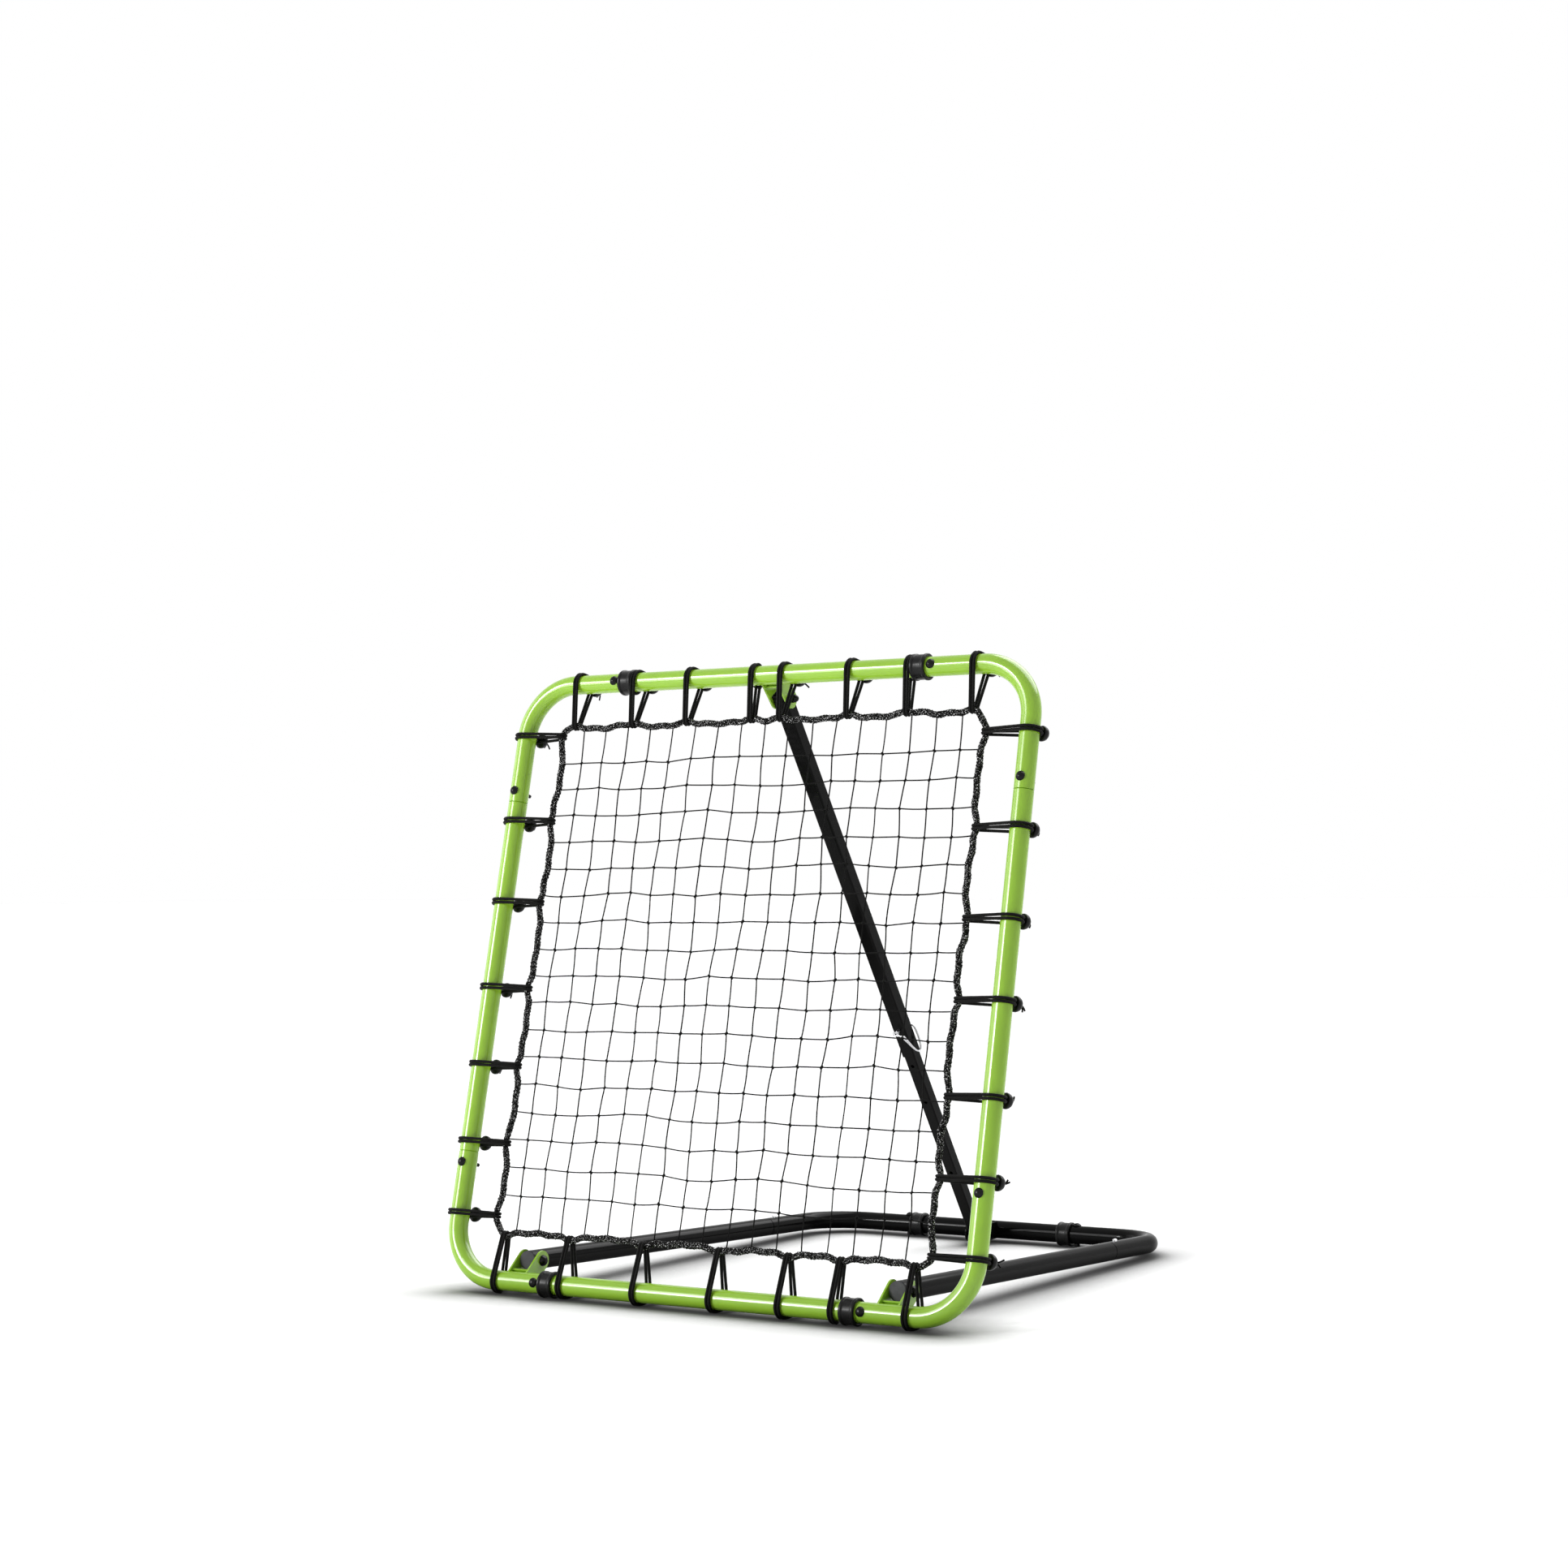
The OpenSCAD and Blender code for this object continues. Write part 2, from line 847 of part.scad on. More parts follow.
module foot_nut() {
  color(black)
    at_foot()
      translate([foot_gap / 2 + ear_t + fit, -foot_reach, 0])
        along_x(1)
          hex_nut(pivot_d, pivot_nut, 7);
}

// ---- Strut ----

module cross_hole(size) {
  rotate([0, 90, 0]) cylinder(d = size, h = strut_w + 4, center = true);
}

module strut_outer() {
  color(black)
    in_strut()
      difference() {
        translate([0, 0, -outer_end]) square_tube(strut_w, 3, outer_end + outer_top);
        cross_hole(pivot_hole);
        translate([0, 0, -lock_s]) drill_y(lock_hole);
      }
}

module strut_inner() {
  color(black)
    in_strut()
      difference() {
        translate([0, 0, -inner_end]) square_tube(inner_w, 2.5, inner_end - inner_top);
        translate([0, 0, -strut_run]) cross_hole(foot_hole);
        for (k = [1 : hole_count])
          translate([0, 0, -lock_s - k * hole_pitch])
            drill_y(lock_hole);
        translate([0, 0, -lock_s]) drill_y(lock_hole);
        translate([0, 0, -lock_s + draw_out]) drill_y(lock_hole);
        translate([-lock_hole / 2, -strut_w, -lock_s])
          cube([lock_hole, 2 * strut_w, draw_out]);
      }
}

lock_pin_d = lock_hole - 0.2;
lock_tip = strut_w / 2 + 9;
lock_back = strut_w / 2 + 0.5;
clip_r = 1.3;
clip_y = lock_back + 4;

// Pin through both strut tubes: domed tip to the front, drilled head to the rear
module lock_pin() {
  color(steel)
    in_strut()
      translate([0, 0, -lock_s])
        rotate([-90, 0, 0])
          difference() {
            union() {
              translate([0, 0, 1.5 - lock_tip]) cylinder(d = lock_pin_d, h = lock_back + lock_tip);
              translate([0, 0, 1.5 - lock_tip]) mirror([0, 0, 1]) dome(lock_pin_d, 1.5);
              translate([0, 0, lock_back]) cylinder(d = 12, h = 8);
            }
            translate([0, 0, clip_y])
              rotate([90, 0, 0])
                cylinder(r = clip_r + 0.1, h = 30, center = true);
          }
}

clip_front = lock_tip + 0.4 + clip_r;
clip_mid = (clip_front - clip_y) / 2;
clip_half = (clip_front + clip_y) / 2;
clip_out = strut_w / 2 + 9.5;
clip_drop = 50;
clip_steps = 20;

// The clip's line: from the pin's head, down round the side of the strut, up to the pin's tip
function clip_point(a) = [
  clip_out * sqrt(sin(a)),
  clip_half * cos(a) - clip_mid,
  -clip_drop * pow(sin(a), 1.5)
];
clip_path = concat(
  [[0, clip_y, 9], [0, clip_y, 0], [0, clip_y, -8]],
  [for (i = [2 : clip_steps - 1]) clip_point(180 * i / clip_steps)],
  [[-1, -clip_front, 1], [-4, -clip_front, 3]]
);

module lock_clip() {
  n = len(clip_path);
  points = [
    for (i = [0 : n - 1], k = [0 : 7])
      let (
        along = unit(clip_path[min(i + 1, n - 1)] - clip_path[max(i - 1, 0)]),
        side = unit(cross(along, [0.3, 1, 0.2])),
        up = cross(side, along)
      )
      clip_path[i] + clip_r * (cos(k * 45) * side + sin(k * 45) * up)
  ];
  walls = [
    for (i = [0 : n - 2], k = [0 : 7])
      let (m = wrap(k + 1, 8))
      [i * 8 + k, (i + 1) * 8 + k, (i + 1) * 8 + m, i * 8 + m]
  ];
  ends = [
    [for (k = [0 : 7]) k],
    [for (k = [7 : -1 : 0]) (n - 1) * 8 + k]
  ];
  color(steel)
    in_strut()
      translate([0, 0, -lock_s])
        polyhedron(points, concat(walls, ends));
}

// ---- Nodes ----

frame_corner(-1, true);  // corner_top_left
frame_corner(1, true);  // corner_top_right
frame_corner(-1, false);  // corner_bottom_left
frame_corner(1, false);  // corner_bottom_right
cross_tube(true);  // tube_top
cross_tube(false);  // tube_bottom
side_tube(-1);  // tube_left
side_tube(1);  // tube_right
frame_collar(-1, true);  // collar_top_left
frame_collar(1, true);  // collar_top_right
frame_collar(-1, false);  // collar_bottom_left
frame_collar(1, false);  // collar_bottom_right
base_bracket(-1);  // base_bracket_left
base_bracket(1);  // base_bracket_right
head_bracket();
frame_bolts();
frame_nuts();
net();
edge_rope();
tie_row(90, ties_x_top, rope_gap_end);  // ties_top
tie_row(-90, ties_x_bottom, rope_gap_end);  // ties_bottom
tie_row(0, ties_z_left, rope_gap_side);  // ties_left
tie_row(180, ties_z_right, rope_gap_side);  // ties_right
tie_balls();
pivot_bolts();
pivot_caps();
head_bolt();
head_nut();
leg(-1);  // leg_left
leg(1);  // leg_right
rear_corner(-1);  // rear_corner_left
rear_corner(1);  // rear_corner_right
rear_tube();
rear_collar(-1);  // rear_collar_left
rear_collar(1);  // rear_collar_right
end_plug(-1);  // end_plug_left
end_plug(1);  // end_plug_right
snap_button(-1);  // snap_button_left
snap_button(1);  // snap_button_right
snap_spring(-1);  // snap_spring_left
snap_spring(1);  // snap_spring_right
rear_bolts();
rear_nuts();
foot_bracket();
foot_bolt();
foot_nut();
strut_outer();
strut_inner();
lock_pin();
lock_clip();
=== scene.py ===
import math
import random

import bmesh
import bpy
from bpy.props import FloatProperty, FloatVectorProperty, IntProperty, PointerProperty
from mathutils import Matrix, Vector


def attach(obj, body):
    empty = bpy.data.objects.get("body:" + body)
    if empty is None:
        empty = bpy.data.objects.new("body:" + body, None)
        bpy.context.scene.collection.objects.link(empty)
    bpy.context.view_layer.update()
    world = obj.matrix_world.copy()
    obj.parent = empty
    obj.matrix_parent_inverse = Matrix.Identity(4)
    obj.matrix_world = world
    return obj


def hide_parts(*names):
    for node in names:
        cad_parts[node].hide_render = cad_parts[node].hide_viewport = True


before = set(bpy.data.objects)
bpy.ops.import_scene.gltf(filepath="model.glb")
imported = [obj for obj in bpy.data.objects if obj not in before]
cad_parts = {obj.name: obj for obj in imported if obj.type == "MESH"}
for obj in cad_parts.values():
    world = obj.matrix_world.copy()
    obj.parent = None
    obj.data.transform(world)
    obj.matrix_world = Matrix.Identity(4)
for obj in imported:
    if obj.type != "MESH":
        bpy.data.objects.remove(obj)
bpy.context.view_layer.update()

bl_info = {
    "name": "Net Rebounder",
    "version": (1, 0, 0),
    "blender": (4, 5, 0),
    "location": "3D View > Sidebar > Rebounder",
    "description": "Builds the net, ties, fittings and finishes of a leaning net rebounder",
    "category": "Object",
}

# ---- Places, in metres, as the solid model has them ----

# How far the net frame leans, the base slopes and the strut leans, and the strut's head bolt
LEAN, BASE_TILT, STRUT_LEAN = math.radians(13.25), math.radians(1.8966), math.radians(34.2043)
STRUT_HEAD = (0, -0.216458, 0.961548)
# The middles of the bottom tube and the rear tube: the Y of each and the height of both
FRONT_Y, REAR_Y, AXIS_Z = -0.4825, 0.4825, 0.0215
# The net frame's side tubes and its top tube from the bottom tube's middle, and a tube's radius
SIDE_X, TOP_Z, TUBE = 0.484, 1.004, 0.016
# Planes through the net frame and the base, and the strut's line from its head bolt down
FRAME_PLANE = Matrix.Translation((0, FRONT_Y, AXIS_Z)) @ Matrix.Rotation(-LEAN, 4, "X")
BASE_PLANE = Matrix.Translation((0, REAR_Y, AXIS_Z)) @ Matrix.Rotation(-BASE_TILT, 4, "X")
STRUT_LINE = Matrix.Translation(STRUT_HEAD) @ Matrix.Rotation(STRUT_LEAN, 4, "X")
# The lock pin's place down the strut from its head bolt, and half the strut's width
LOCK_DROP, STRUT_HALF = 0.668452, 0.0125

# How each side's ties are turned about Y, and their places along the side
TIES = {
    "top": (90, (-0.382, -0.264, -0.155, -0.028, 0.028, 0.155, 0.264, 0.382)),
    "bottom": (-90, (-0.384, -0.254, -0.110, 0.034, 0.160, 0.254, 0.382)),
    "left": (0, (0.104, 0.222, 0.350, 0.480, 0.626, 0.766, 0.914)),
    "right": (180, (0.090, 0.206, 0.328, 0.474, 0.600, 0.742, 0.894)),
}
# The rope's middle line at the ties, and the net's spacing and cord counts
ROPE_X, ROPE_LOW, ROPE_HIGH = 0.410, 0.071, 0.933
MESH = 0.0455
CORDS_ACROSS, CORDS_UP = 17, 17


# ---- Small helpers ----

# Points closer than this are one point
SAME_PLACE = 1e-6
# The share of an edge that one rounded corner may take up
CORNER_SHARE = 0.45
# An edge's length is never taken as less than this
SHORTEST = 1e-9


def sizes():
    """The settings for widths and counts."""
    return bpy.context.scene.rebounder_sizes


def colours():
    """The settings for colours."""
    return bpy.context.scene.rebounder_colours


def show(name, bm, body, finish, replaces=()):
    """Closes up a bmesh as a finished piece, riding on a body and wearing one finish."""
    bmesh.ops.remove_doubles(bm, verts=bm.verts, dist=SAME_PLACE)
    bmesh.ops.recalc_face_normals(bm, faces=bm.faces)
    mesh = bpy.data.meshes.new(name)
    bm.to_mesh(mesh)
    bm.free()
    for polygon in mesh.polygons:
        polygon.use_smooth = True
    mesh.materials.append(finish_of(finish))
    piece = bpy.data.objects.new(name, mesh)
    bpy.context.scene.collection.objects.link(piece)
    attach(piece, body)
    if replaces:
        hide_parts(*replaces)


def turned(bm, profile, place, steps):
    """Spins a profile of (radius, height) points full round its Z axis, then puts it in place.

    A profile that does not touch the axis is closed into a ring.
    """
    before = set(bm.verts)
    row = [bm.verts.new((r, 0, z)) for r, z in profile]
    edges = [bm.edges.new(pair) for pair in zip(row, row[1:])]
    if profile[0][0] > 0 and profile[-1][0] > 0:
        edges.append(bm.edges.new((row[-1], row[0])))
    bmesh.ops.spin(
        bm, geom=row + edges, cent=(0, 0, 0), axis=(0, 0, 1), angle=math.tau,
        steps=steps, use_merge=True, use_duplicate=False,
    )
    fresh = [v for v in bm.verts if v not in before]
    bmesh.ops.remove_doubles(bm, verts=fresh, dist=SAME_PLACE)
    fresh = [v for v in bm.verts if v not in before]
    bmesh.ops.transform(bm, matrix=place, verts=fresh)


def lay_cords(bm, runs, radius, rounds, closed, place):
    """Adds round cords to a bmesh: each run is a line of points, swept by a bevelled curve.

    The curve's bevel has rounds as its resolution, and place puts the swept cords in the scene.
    """
    curve = bpy.data.curves.new("cord_guide", "CURVE")
    curve.dimensions = "3D"
    curve.bevel_depth = radius
    curve.bevel_resolution = rounds
    curve.use_fill_caps = True
    for run in runs:
        spline = curve.splines.new("POLY")
        spline.points.add(len(run) - 1)
        for point, co in zip(spline.points, run):
            point.co = (*co, 1)
        spline.use_cyclic_u = closed
    guide = bpy.data.objects.new("cord_guide", curve)
    bpy.context.scene.collection.objects.link(guide)
    bpy.context.view_layer.update()
    shaped = guide.evaluated_get(bpy.context.evaluated_depsgraph_get())
    mesh = bpy.data.meshes.new_from_object(shaped)
    mesh.transform(place)
    bm.from_mesh(mesh)
    bpy.data.objects.remove(guide)
    bpy.data.curves.remove(curve)
    bpy.data.meshes.remove(mesh)


def eased(points, reach, steps, closed):
    """Rounds the corners of a line of points with short curves."""
    out = []
    count = len(points)
    for i, p in enumerate(points):
        if not closed and i in (0, count - 1):
            out.append(Vector(p))
            continue
        a, b, c = Vector(points[i - 1]), Vector(p), Vector(points[(i + 1) % count])
        near = b + (a - b).normalized() * min(reach, (a - b).length * CORNER_SHARE)
        far = b + (c - b).normalized() * min(reach, (c - b).length * CORNER_SHARE)
        for k in range(steps + 1):
            t = k / steps
            out.append(near * (1 - t) ** 2 + b * 2 * t * (1 - t) + far * t ** 2)
    return out


# ---- Materials ----

def shader(name, colour, roughness, metallic=0.0):
    """A principled material, with its nodes, links, surface node and object coordinates."""
    material = bpy.data.materials.new(name)
    material.use_nodes = True
    nodes, links = material.node_tree.nodes, material.node_tree.links
    surface = nodes["Principled BSDF"]
    surface.inputs["Base Color"].default_value = (*colour, 1)
    surface.inputs["Roughness"].default_value = roughness
    surface.inputs["Metallic"].default_value = metallic
    place = nodes.new("ShaderNodeTexCoord")
    return material, nodes, links, surface, place.outputs["Object"]


def noise(nodes, links, place, scale, detail=3.0, stretch=None):
    """A cloudy value between 0 and 1 over the object's own coordinates."""
    texture = nodes.new("ShaderNodeTexNoise")
    texture.inputs["Scale"].default_value = scale
    texture.inputs["Detail"].default_value = detail
    if stretch:
        mapping = nodes.new("ShaderNodeMapping")
        mapping.inputs["Scale"].default_value = stretch
        links.new(place, mapping.inputs["Vector"])
        place = mapping.outputs["Vector"]
    links.new(place, texture.inputs["Vector"])
    return texture.outputs["Fac"]


def ramp(nodes, links, value, stops):
    """Turns a value into colours through stops of (position, colour)."""
    node = nodes.new("ShaderNodeValToRGB")
    elements = node.color_ramp.elements
    while len(elements) < len(stops):
        elements.new(0.5)
    for element, (position, colour) in zip(elements, stops):
        element.position = position
        element.color = (*colour, 1)
    links.new(value, node.inputs["Fac"])
    return node.outputs["Color"]


def bump(nodes, links, surface, heights, distance):
    """Stacks one or more (height, strength) pairs into the normal."""
    normal = None
    for height, strength in heights:
        node = nodes.new("ShaderNodeBump")
        node.inputs["Strength"].default_value = strength
        node.inputs["Distance"].default_value = distance
        links.new(height, node.inputs["Height"])
        if normal is not None:
            links.new(normal, node.inputs["Normal"])
        normal = node.outputs["Normal"]
    links.new(normal, surface.inputs["Normal"])


def grey(value):
    """An even grey as a colour."""
    return (value, value, value)


def toned(colour, times, plus=0.0):
    """A darker or paler version of a colour."""
    return tuple(min(1, c * times + plus) for c in colour)


def powder_coat(name, colour, roughness, coat, specular, coat_roughness):
    """Sprayed and baked paint: even colour, the faintest orange peel, a clear gloss."""
    material, nodes, links, surface, place = shader(name, colour, roughness)
    shade = noise(nodes, links, place, scale=9.0)
    stops = [(0.3, toned(colour, 0.93)), (0.7, toned(colour, 1.05, 0.001))]
    links.new(ramp(nodes, links, shade, stops), surface.inputs["Base Color"])
    smear = noise(nodes, links, place, scale=38.0, detail=4.0)
    stops = [(0.35, grey(roughness * 0.96)), (0.75, grey(roughness * 1.06))]
    links.new(ramp(nodes, links, smear, stops), surface.inputs["Roughness"])
    peel = noise(nodes, links, place, scale=160.0, detail=1.0)
    bump(nodes, links, surface, [(peel, 0.006)], distance=0.00002)
    surface.inputs["Coat Weight"].default_value = coat
    surface.inputs["Coat Roughness"].default_value = coat_roughness
    surface.inputs["Specular IOR Level"].default_value = specular
    return material


def moulded(name, colour, roughness, grain):
    """Moulded plastic with a fine spark-eroded grain and slightly rubbed high spots."""
    material, nodes, links, surface, place = shader(name, colour, roughness)
    blotch = noise(nodes, links, place, scale=60.0)
    stops = [(0.35, colour), (0.8, toned(colour, 1.5, 0.001))]
    links.new(ramp(nodes, links, blotch, stops), surface.inputs["Base Color"])
    fine = noise(nodes, links, place, scale=1400.0, detail=2.0)
    stops = [(0.3, grey(roughness - 0.08)), (0.7, grey(roughness + 0.08))]
    links.new(ramp(nodes, links, fine, stops), surface.inputs["Roughness"])
    bump(nodes, links, surface, [(fine, grain)], distance=0.0004)
    surface.inputs["Specular IOR Level"].default_value = 0.15
    return material


def yarn(name, colour, pale, share, scale, roughness=0.82):
    """Spun or braided cord: fibre bump, a soft sheen and some paler fibres."""
    material, nodes, links, surface, place = shader(name, colour, roughness)
    flecks = noise(nodes, links, place, scale, detail=2.0)
    stops = [(share, colour), (share + 0.05, pale)]
    links.new(ramp(nodes, links, flecks, stops), surface.inputs["Base Color"])
    fibre = noise(nodes, links, place, scale=2600.0)
    clump = noise(nodes, links, place, scale=520.0, detail=2.0)
    bump(nodes, links, surface, [(clump, 0.35), (fibre, 0.35)], distance=0.0006)
    surface.inputs["Sheen Weight"].default_value = 0.01
    surface.inputs["Sheen Roughness"].default_value = 0.4
    surface.inputs["Specular IOR Level"].default_value = 0.08
    return material


def plated(name, colour, roughness):
    """Bright plated steel with fine drawing marks."""
    material, nodes, links, surface, place = shader(name, colour, roughness, metallic=1.0)
    marks = noise(nodes, links, place, scale=900.0, stretch=(1, 0.15, 0.15))
    stops = [(0.3, grey(roughness - 0.08)), (0.75, grey(roughness + 0.14))]
    links.new(ramp(nodes, links, marks, stops), surface.inputs["Roughness"])
    tint = noise(nodes, links, place, scale=45.0)
    stops = [(0.35, toned(colour, 0.86)), (0.65, colour)]
    links.new(ramp(nodes, links, tint, stops), surface.inputs["Base Color"])
    bump(nodes, links, surface, [(marks, 0.12)], distance=0.0002)
    return material


def finish_of(kind):
    """The object's finishes by name, each made once."""
    if kind in bpy.data.materials:
        return bpy.data.materials[kind]
    c = colours()
    cord = tuple(c.cord)
    if kind == "lime_powder_coat":
        return powder_coat(
            kind, tuple(c.lime), roughness=0.2, coat=0.35, specular=0.38, coat_roughness=0.12)
    if kind == "black_powder_coat":
        return powder_coat(
            kind, tuple(c.black), roughness=0.2, coat=0.10, specular=0.015, coat_roughness=0.05)
    if kind == "gloss_black":
        return powder_coat(
            kind, tuple(c.black), roughness=0.2, coat=0.35, specular=0.0, coat_roughness=0.03)
    if kind == "collar_moulding":
        return moulded(kind, tuple(c.collar), roughness=0.3, grain=0.06)
    if kind == "plug_moulding":
        return moulded(kind, tuple(c.plug), roughness=0.5, grain=0.3)
    if kind == "net_twine":
        return yarn(kind, cord, toned(cord, 3, 0.004), share=0.62, scale=900.0)
    if kind == "rope_braid":
        return yarn(kind, cord, tuple(c.fleck), share=0.59, scale=560.0)
    if kind == "elastic_cover":
        return yarn(kind, cord, toned(cord, 2.5, 0.006), share=0.55, scale=1200.0, roughness=0.7)
    if kind == "bright_plate":
        return plated(kind, tuple(c.steel), roughness=0.24)
    raise ValueError(kind)


# ---- Settings ----

class RebounderSizes(bpy.types.PropertyGroup):
    rope_width: FloatProperty(
        name="Rope width", description="Width of the braided rope round the net",
        default=0.0112, min=0.006, max=0.012, unit="LENGTH")
    rope_pitch: FloatProperty(
        name="Braid pitch", description="Length of one turn of a strand in the rope",
        default=0.024, min=0.012, max=0.05, unit="LENGTH")
    cord_width: FloatProperty(
        name="Net cord width", description="Width of the net's cords",
        default=0.0022, min=0.001, max=0.003, unit="LENGTH")
    knot_width: FloatProperty(
        name="Knot width", description="Width of the knots where the net's cords meet",
        default=0.005, min=0.003, max=0.008, unit="LENGTH")
    tie_width: FloatProperty(
        name="Tie cord width", description="Width of the elastic cord of each tie",
        default=0.0050, min=0.0025, max=0.006, unit="LENGTH")
    clip_width: FloatProperty(
        name="Clip wire width", description="Width of the lock pin's clip wire",
        default=0.0024, min=0.0015, max=0.003, unit="LENGTH")
    strands: IntProperty(
        name="Rope strands", description="Strands laid each way round the rope",
        default=4, min=3, max=6)


class RebounderColours(bpy.types.PropertyGroup):
    lime: FloatVectorProperty(
        name="Frame paint", description="Colour of the net frame", subtype="COLOR",
        size=3, default=(0.272, 0.505, 0.028), min=0, max=1)
    black: FloatVectorProperty(
        name="Base paint", description="Colour of the base and strut", subtype="COLOR",
        size=3, default=(0.0035, 0.0035, 0.0035), min=0, max=1)
    collar: FloatVectorProperty(
        name="Collar plastic", description="Colour of the collars", subtype="COLOR",
        size=3, default=(0.006, 0.006, 0.006), min=0, max=1)
    plug: FloatVectorProperty(
        name="Plug plastic", description="Colour of the end plugs", subtype="COLOR",
        size=3, default=(0.06, 0.06, 0.064), min=0, max=1)
    cord: FloatVectorProperty(
        name="Cord", description="Colour of the net, rope and ties", subtype="COLOR",
        size=3, default=(0.004, 0.0039, 0.0037), min=0, max=1)
    fleck: FloatVectorProperty(
        name="Rope fleck", description="Colour of the pale fibres in the rope", subtype="COLOR",
        size=3, default=(0.6, 0.6, 0.6), min=0, max=1)
    steel: FloatVectorProperty(
        name="Plated steel", description="Colour of the lock pin and clip", subtype="COLOR",
        size=3, default=(0.72, 0.72, 0.74), min=0, max=1)


# ---- Finishes of the solid model's own pieces ----

def finish_for_node(node):
    """The finish that one of the solid model's pieces wears."""
    if node.startswith(("corner_", "tube_", "base_bracket")) or node == "head_bracket":
        return "lime_powder_coat"
    if node.startswith("end_plug"):
        return "plug_moulding"
    if node.startswith("snap_") or node in ("lock_pin", "lock_clip"):
        return "bright_plate"
    if "bolt" in node or "nut" in node or "cap" in node:
        return "gloss_black"
    return "black_powder_coat"


class REBOUNDER_OT_finishes(bpy.types.Operator):
    """Paints the tubes, brackets and fixings of the solid model"""
    bl_idname = "rebounder.finishes"
    bl_label = "Paint tubes and fixings"

    def execute(self, context):
        for node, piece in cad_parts.items():
            material = finish_of(finish_for_node(node))
            if piece.material_slots:
                for place in piece.material_slots:
                    place.material = material
            else:
                piece.data.materials.append(material)
        return {"FINISHED"}


# ---- Net and rope ----

# How far the net pulls the rope inward, and the distance from a tie over which it does so
ROPE_SAG, SAG_REACH = 0.0095, 0.009
# Half the stretch of rope that a tie keeps straight, and where the sag beside it starts
TIE_SEAT, SAG_START = 0.005, 0.004
# Cords nearer than these to the last tie of a side or to any tie leave the rope's path alone
END_CLEAR, TIE_CLEAR = 0.008, 0.007
# How far the rope springs back between two cords
SCALLOP = 0.0024
# How far the net's knots wander in x and z, and the width of the calm border by the rope
WANDER_X, WANDER_Z, CALM = 0.0022, 0.0020, 0.12
# How far chance moves a knot in the net's plane and out of it, and bows a cord between knots
JITTER, JITTER_DEPTH, BOW = 0.0022, 0.001, 0.0009
# How far short of the rope's middle line a cord ends
CORD_END = 0.001
# A knot's length and thickness as shares of its width, and the range of its size
KNOT_LONG, KNOT_THICK, KNOT_SIZES = 1.35, 0.85, (0.9, 1.15)
# The ways a knot lies in the net, in degrees, and how far it swings from them
KNOT_TURNS, KNOT_SWING = (40, 50, 130), 9


def nearest(value, places):
    """The distance from a value to the nearest of some places."""
    return min(abs(value - p) for p in places)


def pull_in(gap):
    """How far the rope hangs inward at a distance from the nearest tie."""
    return ROPE_SAG * (1 - math.exp(-max(0, gap) / SAG_REACH))


def cord_places(count, middle):
    """The places of evenly spaced cords about a middle."""
    return [middle + (i - (count - 1) / 2) * MESH for i in range(count)]


def rope_stations():
    """The rope's points round the frame's plane, (x, z), anticlockwise from the bottom left."""
    columns, rows = cord_places(CORDS_ACROSS, 0), cord_places(CORDS_UP, TOP_Z / 2)

    def side(ties, cords, forward):
        low, high = min(ties) + END_CLEAR, max(ties) - END_CLEAR
        spots = {p: 0.0 for t in ties for p in (t - TIE_SEAT, t + TIE_SEAT)}
        for c in cords:
            if low < c < high and nearest(c, ties) > TIE_CLEAR:
                spots[c] = pull_in(nearest(c, ties) - SAG_START)
        for a, b in zip(cords, cords[1:]):
            if a in spots and b in spots and not any(a < t < b for t in ties):
                spots[(a + b) / 2] = min(spots[a], spots[b]) - SCALLOP
        return sorted(spots.items(), reverse=not forward)

    path = [(a, ROPE_LOW + d) for a, d in side(TIES["bottom"][1], columns, True)]
    path += [(ROPE_X - d, a) for a, d in side(TIES["right"][1], rows, True)]
    path += [(a, ROPE_HIGH - d) for a, d in side(TIES["top"][1], columns, False)]
    path += [(d - ROPE_X, a) for a, d in side(TIES["left"][1], rows, False)]
    return path


def rope_line():
    """The rope's smooth middle line, as points in the frame's plane."""
    return eased([(x, 0, z) for x, z in rope_stations()], reach=0.009, steps=5, closed=True)


def spaced(points, gap):
    """The closed line again at an even spacing, and its length."""
    ring = points + [points[0]]
    total = sum((b - a).length for a, b in zip(ring, ring[1:]))
    count = round(total / gap)
    step, out, i, along = total / count, [], 0, 0.0
    for k in range(count):
        want = k * step
        while along + (ring[i + 1] - ring[i]).length < want:
            along += (ring[i + 1] - ring[i]).length
            i += 1
        edge = ring[i + 1] - ring[i]
        out.append(ring[i] + edge * ((want - along) / max(edge.length, SHORTEST)))
    return out, total


def crossing(line, axis, value, low):
    """Where the rope crosses the straight cord at a value of one axis, on its low or high side."""
    other = 2 if axis == 0 else 0
    hits = []
    for a, b in zip(line, line[1:] + line[:1]):
        if (a[axis] - value) * (b[axis] - value) <= 0 and a[axis] != b[axis]:
            t = (value - a[axis]) / (b[axis] - a[axis])
            hits.append(a[other] + (b[other] - a[other]) * t)
    return min(hits) if low else max(hits)


def slack_at(x, z):
    """Slow wander of the net's knots from a true square grid, fading out towards the rope."""
    edge = min(ROPE_X - abs(x), z - ROPE_LOW, ROPE_HIGH - z)
    fade = min(1.0, max(0.0, edge) / CALM)
    across = math.sin(17 * x + 9 * z + 0.6) + 0.7 * math.sin(31 * z - 12 * x + 2.1)
    upward = math.sin(14 * z - 19 * x + 1.2) + 0.7 * math.sin(27 * x + 8 * z + 4.0)
    return WANDER_X * fade * across, WANDER_Z * fade * upward


